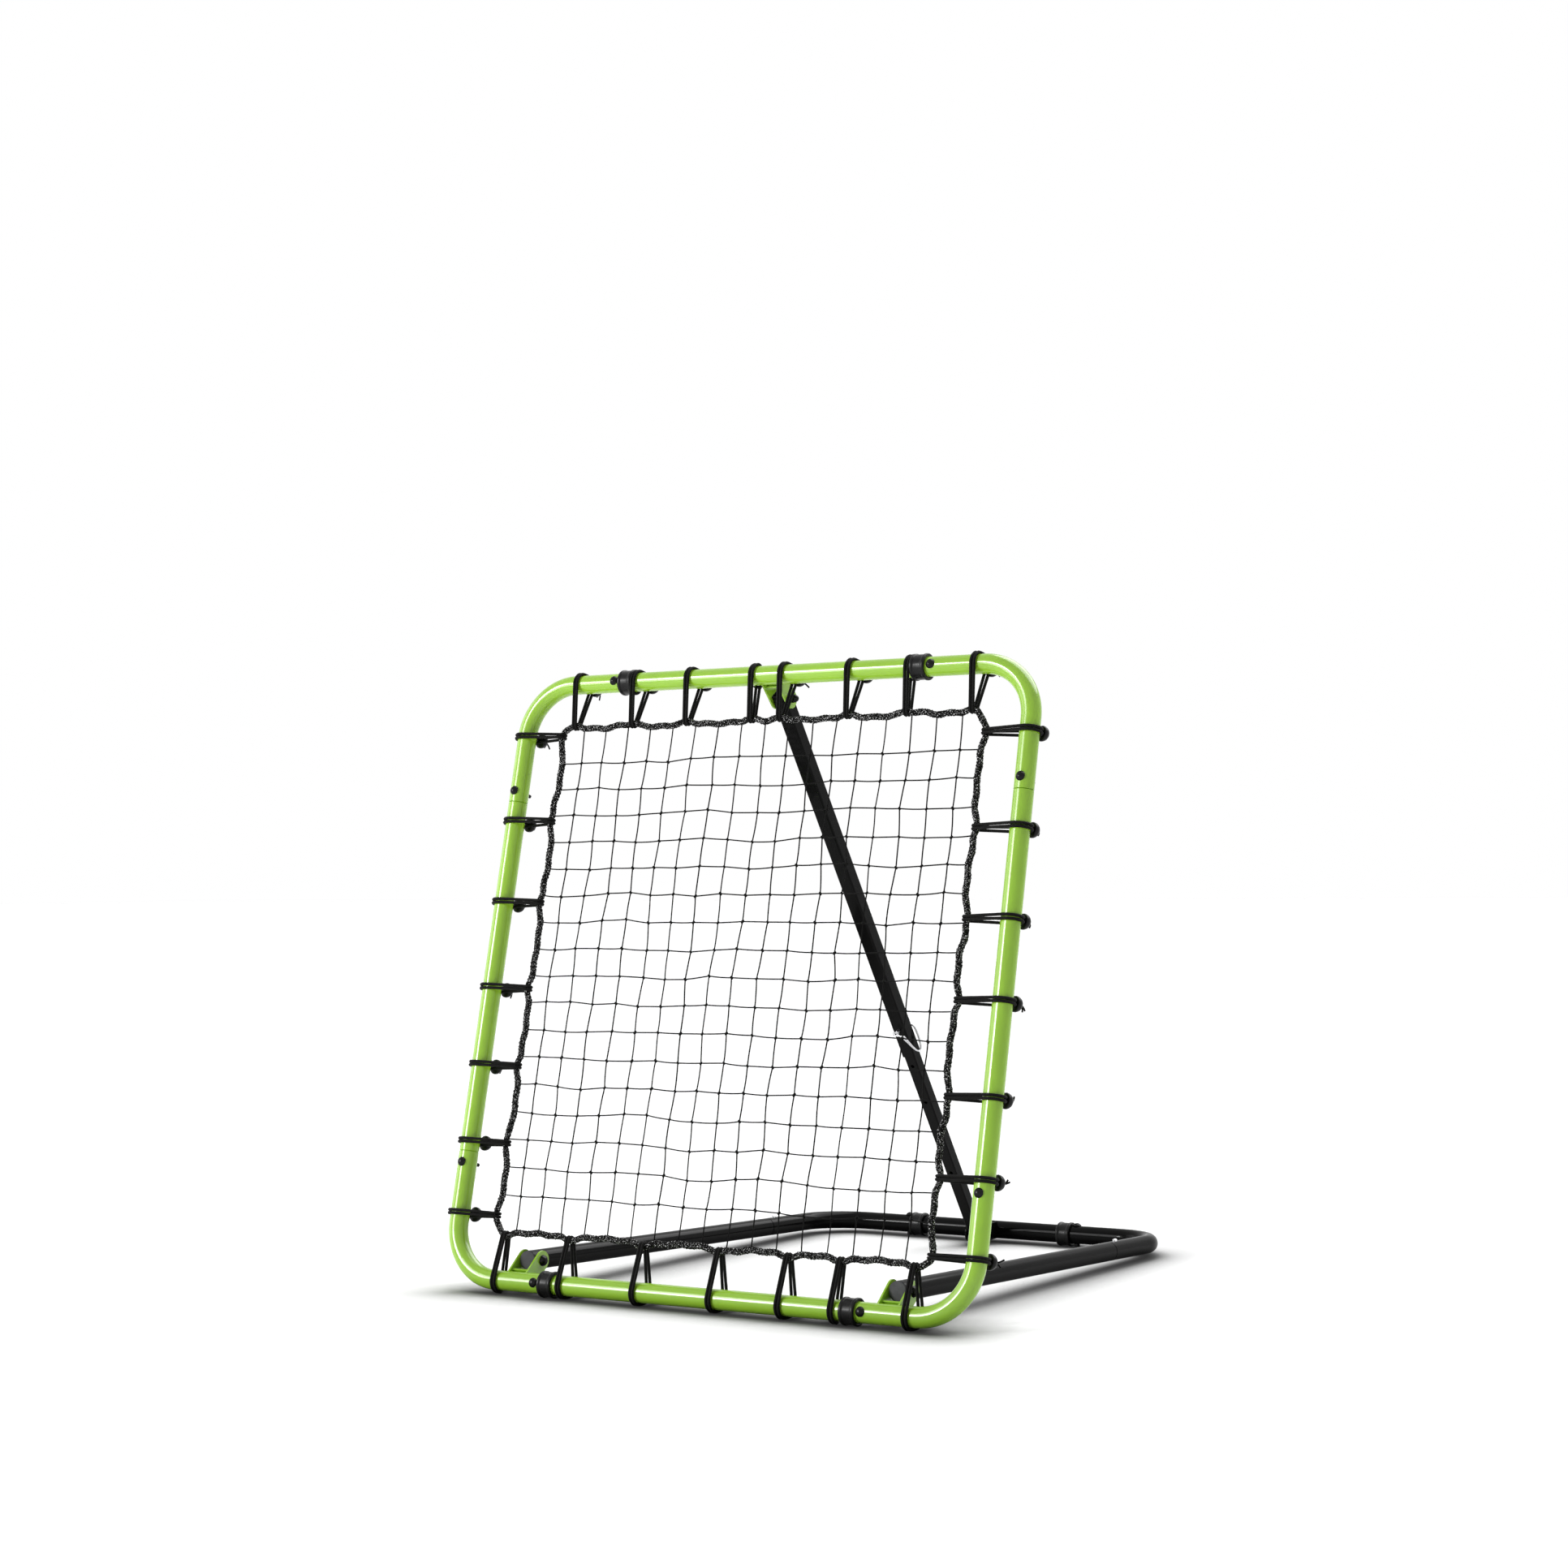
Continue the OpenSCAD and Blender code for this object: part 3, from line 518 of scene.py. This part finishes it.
class REBOUNDER_OT_net(bpy.types.Operator):
    """Knots the square net inside its rope"""
    bl_idname = "rebounder.net"
    bl_label = "Knot the net"

    def execute(self, context):
        s = sizes()
        chance = random.Random(7)
        line = rope_line()
        columns, rows = cord_places(CORDS_ACROSS, 0), cord_places(CORDS_UP, TOP_Z / 2)
        knots = {}
        for i, x in enumerate(columns):
            for j, z in enumerate(rows):
                slack = slack_at(x, z)
                shift = [chance.uniform(-JITTER, JITTER) for _ in range(2)]
                depth = chance.uniform(-JITTER_DEPTH, JITTER_DEPTH)
                knots[i, j] = Vector((x + shift[0] + slack[0], depth, z + shift[1] + slack[1]))
        foot = [Vector((x, 0, crossing(line, 0, x, True) + CORD_END)) for x in columns]
        head = [Vector((x, 0, crossing(line, 0, x, False) - CORD_END)) for x in columns]
        left = [Vector((crossing(line, 2, z, True) + CORD_END, 0, z)) for z in rows]
        right = [Vector((crossing(line, 2, z, False) - CORD_END, 0, z)) for z in rows]
        cords = [[foot[i]] + [knots[i, j] for j in range(CORDS_UP)] + [head[i]]
                 for i in range(CORDS_ACROSS)]
        cords += [[left[j]] + [knots[i, j] for i in range(CORDS_ACROSS)] + [right[j]]
                  for j in range(CORDS_UP)]
        runs = []
        for cord in cords:
            soft = []
            for a, b in zip(cord, cord[1:]):
                bow = Vector((chance.uniform(-1, 1), 0, chance.uniform(-1, 0.2))) * BOW
                soft += [a, (a * 3 + b) / 4 + bow * 0.75, (a + b) / 2 + bow]
                soft += [(a + b * 3) / 4 + bow * 0.75]
            runs.append(soft + [cord[-1]])
        bm = bmesh.new()
        lay_cords(bm, runs, s.cord_width / 2, 1, False, FRAME_PLANE)
        show("net_cords", bm, "frame", "net_twine", ("net",))
        bm = bmesh.new()
        for spot in list(knots.values()) + foot + head + left + right:
            big = s.knot_width / 2 * chance.uniform(*KNOT_SIZES)
            angle = chance.choice(KNOT_TURNS) + chance.uniform(-KNOT_SWING, KNOT_SWING)
            turn = Matrix.Rotation(math.radians(angle), 4, "Y")
            shape = Matrix.Diagonal((big * KNOT_LONG, big * KNOT_THICK, big * KNOT_THICK, 1))
            bmesh.ops.create_uvsphere(
                bm, u_segments=8, v_segments=6, radius=1.0,
                matrix=FRAME_PLANE @ Matrix.Translation(spot) @ turn @ shape)
        show("net_knots", bm, "frame", "net_twine")
        return {"FINISHED"}


# The rope's spacing of points, and its strands' and core's radius as shares of its width
ROPE_STEP, STRAND, CORE = 0.0026, 0.17, 0.27
# How far a strand rides up over the ones it crosses, as a share of its radius
WEAVE = 0.35
# How much thinner a tie squeezes the rope, and the reach of the squeeze along it
SQUEEZE, SQUEEZE_REACH = 0.2, 0.011
# A loose loop of thread at the rope's top left corner: its middle, its radius and the thread's
THREAD_AT = Vector((-0.4035, 0, 0.9275))
THREAD_LOOP, THREAD, THREAD_POINTS = 0.0036, 0.0006, 20
# Where the ties hold the rope, as (x, z) in the frame's plane
HOLDS = [(a, ROPE_LOW) for a in TIES["bottom"][1]] + [(a, ROPE_HIGH) for a in TIES["top"][1]]
HOLDS += [(-ROPE_X, a) for a in TIES["left"][1]] + [(ROPE_X, a) for a in TIES["right"][1]]


def held_at(p):
    """How hard the nearest tie squeezes the rope at a point: 1 at the tie, 0 away from it."""
    near = min(math.hypot(p[0] - x, p[2] - z) for x, z in HOLDS)
    return math.exp(-(near / SQUEEZE_REACH) ** 2)


class REBOUNDER_OT_rope(bpy.types.Operator):
    """Braids the rope that the net hangs in"""
    bl_idname = "rebounder.rope"
    bl_label = "Braid the rope"

    def execute(self, context):
        s = sizes()
        line, total = spaced(rope_line(), ROPE_STEP)
        count = len(line)
        turns = round(total / s.rope_pitch)
        strand = s.rope_width * STRAND
        squeeze = [1 - SQUEEZE * held_at(p) for p in line]
        bm = bmesh.new()
        lay_cords(bm, [line[::2]], s.rope_width * CORE, 2, True, FRAME_PLANE)
        deep = Vector((0, 1, 0))
        runs = []
        # The strands wind both ways, each riding over and under the ones it crosses
        for way in (1, -1):
            for k in range(s.strands):
                run = []
                for i, p in enumerate(line):
                    along = (line[(i + 1) % count] - line[i - 1]).normalized()
                    across = deep.cross(along).normalized()
                    angle = way * math.tau * (turns * i / count) + math.tau * k / s.strands
                    over = way * strand * WEAVE * math.cos(s.strands * angle)
                    lift = s.rope_width / 2 - strand + over
                    out = across * math.cos(angle) + deep * math.sin(angle)
                    run.append(p + out * lift * squeeze[i])
                runs.append(run)
        lay_cords(bm, runs, strand, 0, True, FRAME_PLANE)
        show("net_rope", bm, "frame", "rope_braid", ("edge_rope",))
        ring = []
        for k in range(THREAD_POINTS):
            a = math.tau * k / THREAD_POINTS
            out = Vector((math.cos(a), 0.5 * math.sin(a), math.sin(a)))
            ring.append(THREAD_AT + out * THREAD_LOOP)
        bm = bmesh.new()
        lay_cords(bm, [ring], THREAD, 1, True, FRAME_PLANE)
        show("rope_thread", bm, "frame", "net_twine")
        return {"FINISHED"}


# ---- Ties ----

# Stretches of tube that fittings take up, each as its middle and half its length
JOINT = (0.290875, 0.021875)
FITTINGS = {"top": (JOINT, (0.0, 0.016)), "bottom": (JOINT, (0.3465, 0.0195))}
# A half ball's radius, its gap from the tube, and how far it sits along the tube from its tie
BALL, BALL_GAP, BALL_ASIDE = 0.0125, 0.0052, 0.012
# Degrees round the tube to where a cord pulled straight from the rope leaves it
LEAVE = math.degrees(math.acos((TUBE - 0.004) / (SIDE_X - ROPE_X)))
# Where each side's half balls sit: degrees round the tube from the rope, and a slip back from there
BALL_SEATS = {"top": (85, 0), "bottom": (90, 0), "left": (LEAVE, 0.010), "right": (114, 0)}
# A half ball's section from its flat face to its crown, as (radius, height)
BALL_SECTION = [
    (0.0, 0.0), (0.0110, 0.0), (0.0121, 0.0006), (0.0125, 0.0020), (0.0123, 0.0044),
    (0.0114, 0.0070), (0.0098, 0.0094), (0.0077, 0.0113), (0.0054, 0.0125), (0.0034, 0.0130),
    (0.0028, 0.0126), (0.0, 0.0125),
]
# A tie's gap from the tube, and the radius of the rope inside it
TIE_GAP, HELD_ROPE = 0.0002, 0.0043
# How far a tie's cords stand off its middle, in cord radii: before the tube, behind it, at the rope
WIDE_FRONT, WIDE_REAR, WIDE_ROPE = (1.02, 1.25), 1.5, 1.03
# The share of its half ball's way along the tube that a tie drifts
DRIFT = 0.65
# Points round the tube and round the rope
ROUND_TUBE, ROUND_ROPE = 32, 10
# A cord tail out of a half ball: its radius, and points as (height, distance aside)
TAIL = 0.0014
TAIL_POINTS = ((0.0165, 0.002), (0.0185, 0.006), (0.0195, 0.011))


def on_tube(turn, along):
    """A place on one of the frame's tubes, turned so that +X points inward to the rope."""
    x = {0: -SIDE_X, 180: SIDE_X}.get(turn, along)
    z = {90: TOP_Z, -90: 0.0}.get(turn, along)
    return FRAME_PLANE @ Matrix.Translation((x, 0, z)) @ Matrix.Rotation(math.radians(turn), 4, "Y")


def loop_line(reach, around, end, front, rear, hold, drift):
    """A closed loop of elastic round the tube and the rope.

    The rope is at reach from the tube's middle, and the loop's radius is around on the tube and
    end on the rope. It stands off the tie's middle by front and rear on the tube and by hold at
    the rope, and drifts towards the half ball behind the tube.
    """
    lean = math.acos((around - end) / reach)
    points = []
    for k in range(ROUND_TUBE + 1):
        a = lean + (math.tau - 2 * lean) * k / ROUND_TUBE
        back = max(0.0, math.sin(a))
        back = back * back * (3 - 2 * back)
        wide = front + (rear - front) * back + drift * back
        points.append(Vector((around * math.cos(a), around * math.sin(a), wide)))
    for k in range(ROUND_ROPE + 1):
        a = -lean + 2 * lean * k / ROUND_ROPE
        points.append(Vector((reach + end * math.cos(a), end * math.sin(a), hold)))
    return points


def ball_aside(place, spots):
    """How far along the tube a half ball sits from its tie, on a side clear of fittings."""
    for aside in (BALL_ASIDE, -BALL_ASIDE):
        if all(abs(abs(place + aside) - middle) - half > BALL for middle, half in spots):
            return aside
    return 0.0


def tail_line(way, aside, long):
    """One of a tie's two cord tails, from inside the half ball's crown out to its own side."""
    points = [Vector((0, way * 0.001, 0.011)), Vector((0, way * 0.0012, 0.0142))]
    points += [Vector((0, 0, height)) + aside * out * long for height, out in TAIL_POINTS]
    return eased(points, reach=0.002, steps=3, closed=False)


class REBOUNDER_OT_ties(bpy.types.Operator):
    """Strings the elastic ties, each closed by a half ball behind the tube"""
    bl_idname = "rebounder.ties"
    bl_label = "String the ties"

    def execute(self, context):
        chance = random.Random(21)
        thick = sizes().tie_width / 2
        seats = []
        for side, (turn, places) in TIES.items():
            reach = (TOP_Z - ROPE_HIGH) if side in FITTINGS else SIDE_X - ROPE_X
            # A tie's own Z runs to the right along the top tube and to the left along the bottom
            to_right = 1 if side == "top" else -1
            bm = bmesh.new()
            for place in places:
                aside = ball_aside(place, FITTINGS[side]) if side in FITTINGS else 0.0
                seats.append((turn, place + aside, *BALL_SEATS[side]))
                wide_front = chance.uniform(*WIDE_FRONT)
                for way in (-1, 1):
                    off = way * thick
                    run = loop_line(
                        reach, TUBE + TIE_GAP + thick, HELD_ROPE + thick,
                        off * wide_front, off * WIDE_REAR, off * WIDE_ROPE,
                        to_right * aside * DRIFT)
                    lay_cords(bm, [run], thick, 1, True, on_tube(turn, place))
            name = f"tie_cords_{side}"
            show(name, bm, "frame", "elastic_cover", (f"ties_{side}",))
        balls, tails = bmesh.new(), bmesh.new()
        for turn, along, angle, slip in seats:
            place = on_tube(turn, along) @ Matrix.Rotation(math.radians(angle), 4, "Z")
            place = place @ Matrix.Translation((TUBE + BALL_GAP, -slip, 0))
            place = place @ Matrix.Rotation(math.radians(90), 4, "Y")
            turned(balls, BALL_SECTION, place, 24)
            bend = chance.uniform(0, math.tau)
            for way in (-1, 1):
                turn_to = bend + way * chance.uniform(0.2, 0.9)
                aside = Vector((math.cos(turn_to), math.sin(turn_to), 0))
                long = chance.uniform(0.7, 1.2)
                lay_cords(tails, [tail_line(way, aside, long)], TAIL, 1, False, place)
        show("tie_half_balls", balls, "frame", "collar_moulding", ("tie_balls",))
        show("tie_tails", tails, "frame", "elastic_cover")
        return {"FINISHED"}


# ---- Collars ----

# Half a collar's section from its bore to beside its middle, as (radius, distance along)
COLLAR_HALF = [
    (0.0161, -0.0114), (0.0164, -0.0122), (0.0176, -0.0130), (0.0198, -0.0130),
    (0.0207, -0.0127), (0.0213, -0.0120), (0.0215, -0.0112), (0.0215, -0.0086),
    (0.0213, -0.0081), (0.0206, -0.0076), (0.0203, -0.0068), (0.0202, -0.0055),
]
COLLAR_SECTION = COLLAR_HALF + [(0.0203, 0.0)] + [(r, -z) for r, z in reversed(COLLAR_HALF)]
# The collars' places either side of the middle, on the net frame and on the rear tube
COLLAR_X, REAR_COLLAR_X = 0.282, 0.152


class REBOUNDER_OT_collars(bpy.types.Operator):
    """Moulds the collars over the seams of the frame and the base"""
    bl_idname = "rebounder.collars"
    bl_label = "Mould the collars"

    def execute(self, context):
        seats = {}
        for side, x in (("left", -COLLAR_X), ("right", COLLAR_X)):
            for end, z in (("bottom", 0), ("top", TOP_Z)):
                seats[f"collar_{end}_{side}"] = ("frame", FRAME_PLANE, (x, 0, z))
        for side, x in (("left", -REAR_COLLAR_X), ("right", REAR_COLLAR_X)):
            seats[f"rear_collar_{side}"] = ("base", BASE_PLANE, (x, 0, 0))
        along = Matrix.Rotation(math.radians(90), 4, "Y")
        for node, (body, plane, at) in seats.items():
            bm = bmesh.new()
            turned(bm, COLLAR_SECTION, plane @ Matrix.Translation(at) @ along, 64)
            show(f"{node}_moulding", bm, body, "collar_moulding", (node,))
        return {"FINISHED"}


# ---- Lock pin's clip ----

# Distances along the lock pin from the strut's middle: forward to its tip and back to its head,
# back to the clip's hole in the head, and forward to the clip's wire before the tip
PIN_TIP, PIN_HEAD = STRUT_HALF + 0.009, STRUT_HALF + 0.0005
CLIP_HOLE, CLIP_FRONT = PIN_HEAD + 0.004, PIN_TIP + 0.0004 + 0.0013
# How far the clip bows to the side and hangs down, and the steps of its half turn
CLIP_SIDE, CLIP_DOWN, CLIP_STEPS = 0.022, 0.050, 27
# Half the gap between its two wires, how much it opens at the tip, and the point where that starts
CLIP_APART, CLIP_OPENS, OPENS_FROM = 0.00125, 0.0036, 18
# The bend beyond the pin's tip that joins the two wires
CLIP_BEND = ((-0.003, 0.0052), (-0.0062, 0.002), (-0.0058, -0.003))


class REBOUNDER_OT_clip(bpy.types.Operator):
    """Bends the lock pin's double wire clip round the strut"""
    bl_idname = "rebounder.clip"
    bl_label = "Bend the clip"

    def execute(self, context):
        middle, half = (CLIP_FRONT - CLIP_HOLE) / 2, (CLIP_FRONT + CLIP_HOLE) / 2
        line = [Vector((0, CLIP_HOLE, 0.0)), Vector((0.0012, CLIP_HOLE, -0.006))]
        for i in range(3, CLIP_STEPS - 1):
            a = math.pi * i / CLIP_STEPS
            line.append(Vector((CLIP_SIDE * math.sqrt(math.sin(a)), half * math.cos(a) - middle,
                                -CLIP_DOWN * math.sin(a) ** 1.5)))
        last = len(line) - 1
        wires = []
        for way in (1, -1):
            wire = []
            for i, p in enumerate(line):
                along = (line[min(i + 1, last)] - line[max(i - 1, 0)]).normalized()
                side = along.cross(Vector((0.3, 1, 0.2))).normalized()
                opening = max(0, (i - OPENS_FROM) / (last - OPENS_FROM)) ** 1.5
                wire.append(p + side * way * (CLIP_APART + CLIP_OPENS * opening))
            wires.append(wire)
        bend = [Vector((x, -CLIP_FRONT, z)) for x, z in CLIP_BEND]
        whole = wires[0] + bend + list(reversed(wires[1]))
        whole = eased(whole, reach=0.002, steps=3, closed=False)
        place = STRUT_LINE @ Matrix.Translation((0, 0, -LOCK_DROP))
        bm = bmesh.new()
        lay_cords(bm, [whole], sizes().clip_width / 2, 3, False, place)
        show("clip_wire", bm, "lock_clip", "bright_plate", ("lock_clip",))
        return {"FINISHED"}


# ---- Stage ----

# Distant lamps as (name, azimuth, elevation, power, spread), angles in degrees
SUNS = (("top", 162, 56, 3.5, 60), ("left", -80, 14, 0.6, 40), ("spark", -34, 19, 0.8, 7))
# The panel lamp: azimuth and elevation, power, distance from the object's middle, width and height
KEY_AT, KEY_POWER, KEY_DISTANCE, KEY_SIZE = (-35, 17), 118, 5.0, (1.8, 2.3)
OBJECT_MIDDLE = Vector((0, 0, 0.5))
# The world's light on the object, where rays that show the background see full white
WORLD_LIGHT = 0.10
# Half the floor's width, its colour, and how far off things still darken it with painted shade
FLOOR_HALF, FLOOR_COLOUR, FLOOR_REACH = 60, (0.93, 0.93, 0.93), 0.16
# Painted shade: its paleness by how open it is there, darker close to what stands on it, as
# (openness, paleness)
FLOOR_PAINTED_SHADE = ((0.0, 0.01), (0.55, 0.12), (0.8, 0.45), (0.97, 0.93))
# The floor's own glow, seen only by rays that show the background
FLOOR_GLOW = 0.02
# The camera's place, and the way it backs off from its view and its roll, in degrees
CAMERA_AT = (2.4712, -4.0988, 0.6730)
CAMERA_AZIMUTH, CAMERA_ELEVATION, CAMERA_ROLL = 32.479, -1.860, -0.456
# Its focal length and frame width in pixels, its sensor in millimetres and how far it sees
CAMERA_FOCAL, CAMERA_WIDTH, SENSOR, CAMERA_FAR = 3469.43, 1932, 36, 200


def direction(azimuth, elevation):
    """The way out from the object, in degrees. Azimuth 0 is in front, +90 to the right."""
    a, e = math.radians(azimuth), math.radians(elevation)
    return Vector((math.sin(a) * math.cos(e), -math.cos(a) * math.cos(e), math.sin(e)))


def light(kind, name, azimuth, elevation, power):
    """A lamp that shines on the object from a direction."""
    data = bpy.data.lights.new(name, kind)
    data.energy = power
    lamp = bpy.data.objects.new(name, data)
    lamp.rotation_euler = direction(azimuth, elevation).to_track_quat("Z", "Y").to_euler()
    bpy.context.scene.collection.objects.link(lamp)
    return lamp


def seen_directly(nodes, links):
    """1 for rays that show the background: from the camera, a mirror or through glass."""
    path = nodes.new("ShaderNodeLightPath")
    total = path.outputs["Is Camera Ray"]
    for ray in ("Is Glossy Ray", "Is Transmission Ray"):
        plus = nodes.new("ShaderNodeMath")
        plus.operation = "MAXIMUM"
        links.new(total, plus.inputs[0])
        links.new(path.outputs[ray], plus.inputs[1])
        total = plus.outputs[0]
    return total


def floor_material():
    """A pale floor with painted contact shade: its colour darkens close to what stands on it."""
    material, nodes, links, surface, _ = shader("pale_floor", FLOOR_COLOUR, 0.95)
    surface.inputs["Specular IOR Level"].default_value = 0.0
    # Ambient occlusion darkens the floor's base colour near what stands on it: painted shade
    painted_shade = nodes.new("ShaderNodeAmbientOcclusion")
    painted_shade.samples = 16
    painted_shade.inputs["Distance"].default_value = FLOOR_REACH
    stops = [(position, grey(value)) for position, value in FLOOR_PAINTED_SHADE]
    links.new(ramp(nodes, links, painted_shade.outputs["AO"], stops), surface.inputs["Base Color"])
    glow = nodes.new("ShaderNodeEmission")
    lift = nodes.new("ShaderNodeMath")
    lift.operation = "MULTIPLY"
    lift.inputs[1].default_value = FLOOR_GLOW
    links.new(seen_directly(nodes, links), lift.inputs[0])
    links.new(lift.outputs[0], glow.inputs["Strength"])
    both = nodes.new("ShaderNodeAddShader")
    links.new(surface.outputs[0], both.inputs[0])
    links.new(glow.outputs[0], both.inputs[1])
    links.new(both.outputs[0], nodes["Material Output"].inputs["Surface"])
    return material


def lay_floor(scene):
    """Lays a wide flat floor under the object."""
    bm = bmesh.new()
    bmesh.ops.create_grid(bm, x_segments=1, y_segments=1, size=FLOOR_HALF)
    mesh = bpy.data.meshes.new("floor")
    bm.to_mesh(mesh)
    bm.free()
    floor = bpy.data.objects.new("floor", mesh)
    scene.collection.objects.link(floor)
    mesh.materials.append(floor_material())


def white_world(scene):
    """Shows a white background, and lights the object with only part of it."""
    world = bpy.data.worlds.new("studio")
    scene.world = world
    world.use_nodes = True
    nodes, links = world.node_tree.nodes, world.node_tree.links
    nodes.clear()
    dim = nodes.new("ShaderNodeBackground")
    dim.inputs["Strength"].default_value = WORLD_LIGHT
    plain = nodes.new("ShaderNodeBackground")
    for node in (dim, plain):
        node.inputs["Color"].default_value = (1, 1, 1, 1)
    mix = nodes.new("ShaderNodeMixShader")
    out = nodes.new("ShaderNodeOutputWorld")
    links.new(seen_directly(nodes, links), mix.inputs["Fac"])
    links.new(dim.outputs[0], mix.inputs[1])
    links.new(plain.outputs[0], mix.inputs[2])
    links.new(mix.outputs[0], out.inputs["Surface"])


def place_camera(scene):
    """Aims the camera at the object from the right of its front."""
    back = direction(CAMERA_AZIMUTH, CAMERA_ELEVATION)
    azimuth, roll = math.radians(CAMERA_AZIMUTH), math.radians(CAMERA_ROLL)
    right = Vector((math.cos(azimuth), math.sin(azimuth), 0))
    up = back.cross(right)
    across = right * math.cos(roll) + up * math.sin(roll)
    upward = up * math.cos(roll) - right * math.sin(roll)
    turn = Matrix((across, upward, back)).transposed().to_4x4()
    camera = bpy.data.objects.new("camera", bpy.data.cameras.new("camera"))
    scene.collection.objects.link(camera)
    camera.matrix_world = Matrix.Translation(CAMERA_AT) @ turn
    camera.data.sensor_width = SENSOR
    camera.data.lens = SENSOR * CAMERA_FOCAL / CAMERA_WIDTH
    camera.data.clip_end = CAMERA_FAR
    scene.camera = camera


class REBOUNDER_OT_stage(bpy.types.Operator):
    """Sets the pale floor, the soft light and the camera"""
    bl_idname = "rebounder.stage"
    bl_label = "Set the stage"

    def execute(self, context):
        scene = context.scene
        scene.view_settings.view_transform = "Standard"
        lay_floor(scene)
        white_world(scene)
        for name, azimuth, elevation, power, spread in SUNS:
            light("SUN", name, azimuth, elevation, power).data.angle = math.radians(spread)
        key = light("AREA", "key", *KEY_AT, KEY_POWER)
        key.location = OBJECT_MIDDLE + direction(*KEY_AT) * KEY_DISTANCE
        key.data.shape = "RECTANGLE"
        key.data.size, key.data.size_y = KEY_SIZE
        place_camera(scene)
        return {"FINISHED"}


# ---- Add-on ----

class REBOUNDER_PT_panel(bpy.types.Panel):
    """Builds the rebounder's pieces"""
    bl_label = "Rebounder"
    bl_idname = "REBOUNDER_PT_panel"
    bl_space_type = "VIEW_3D"
    bl_region_type = "UI"
    bl_category = "Rebounder"

    def draw(self, context):
        layout = self.layout
        for group in (context.scene.rebounder_sizes, context.scene.rebounder_colours):
            for name in group.bl_rna.properties.keys():
                if name not in ("rna_type", "name"):
                    layout.prop(group, name)
        for operator in OPERATORS:
            layout.operator(operator.bl_idname)


OPERATORS = (
    REBOUNDER_OT_stage,
    REBOUNDER_OT_finishes,
    REBOUNDER_OT_net,
    REBOUNDER_OT_rope,
    REBOUNDER_OT_ties,
    REBOUNDER_OT_collars,
    REBOUNDER_OT_clip,
)
CLASSES = (RebounderSizes, RebounderColours, *OPERATORS, REBOUNDER_PT_panel)


def register():
    for cls in CLASSES:
        bpy.utils.register_class(cls)
    bpy.types.Scene.rebounder_sizes = PointerProperty(type=RebounderSizes)
    bpy.types.Scene.rebounder_colours = PointerProperty(type=RebounderColours)


def unregister():
    del bpy.types.Scene.rebounder_colours
    del bpy.types.Scene.rebounder_sizes
    for cls in reversed(CLASSES):
        bpy.utils.unregister_class(cls)


def main():
    register()
    bpy.ops.rebounder.stage()
    bpy.ops.rebounder.finishes()
    bpy.ops.rebounder.net()
    bpy.ops.rebounder.rope()
    bpy.ops.rebounder.ties()
    bpy.ops.rebounder.collars()
    bpy.ops.rebounder.clip()
    bpy.context.view_layer.update()


if __name__ == "__main__":
    main()
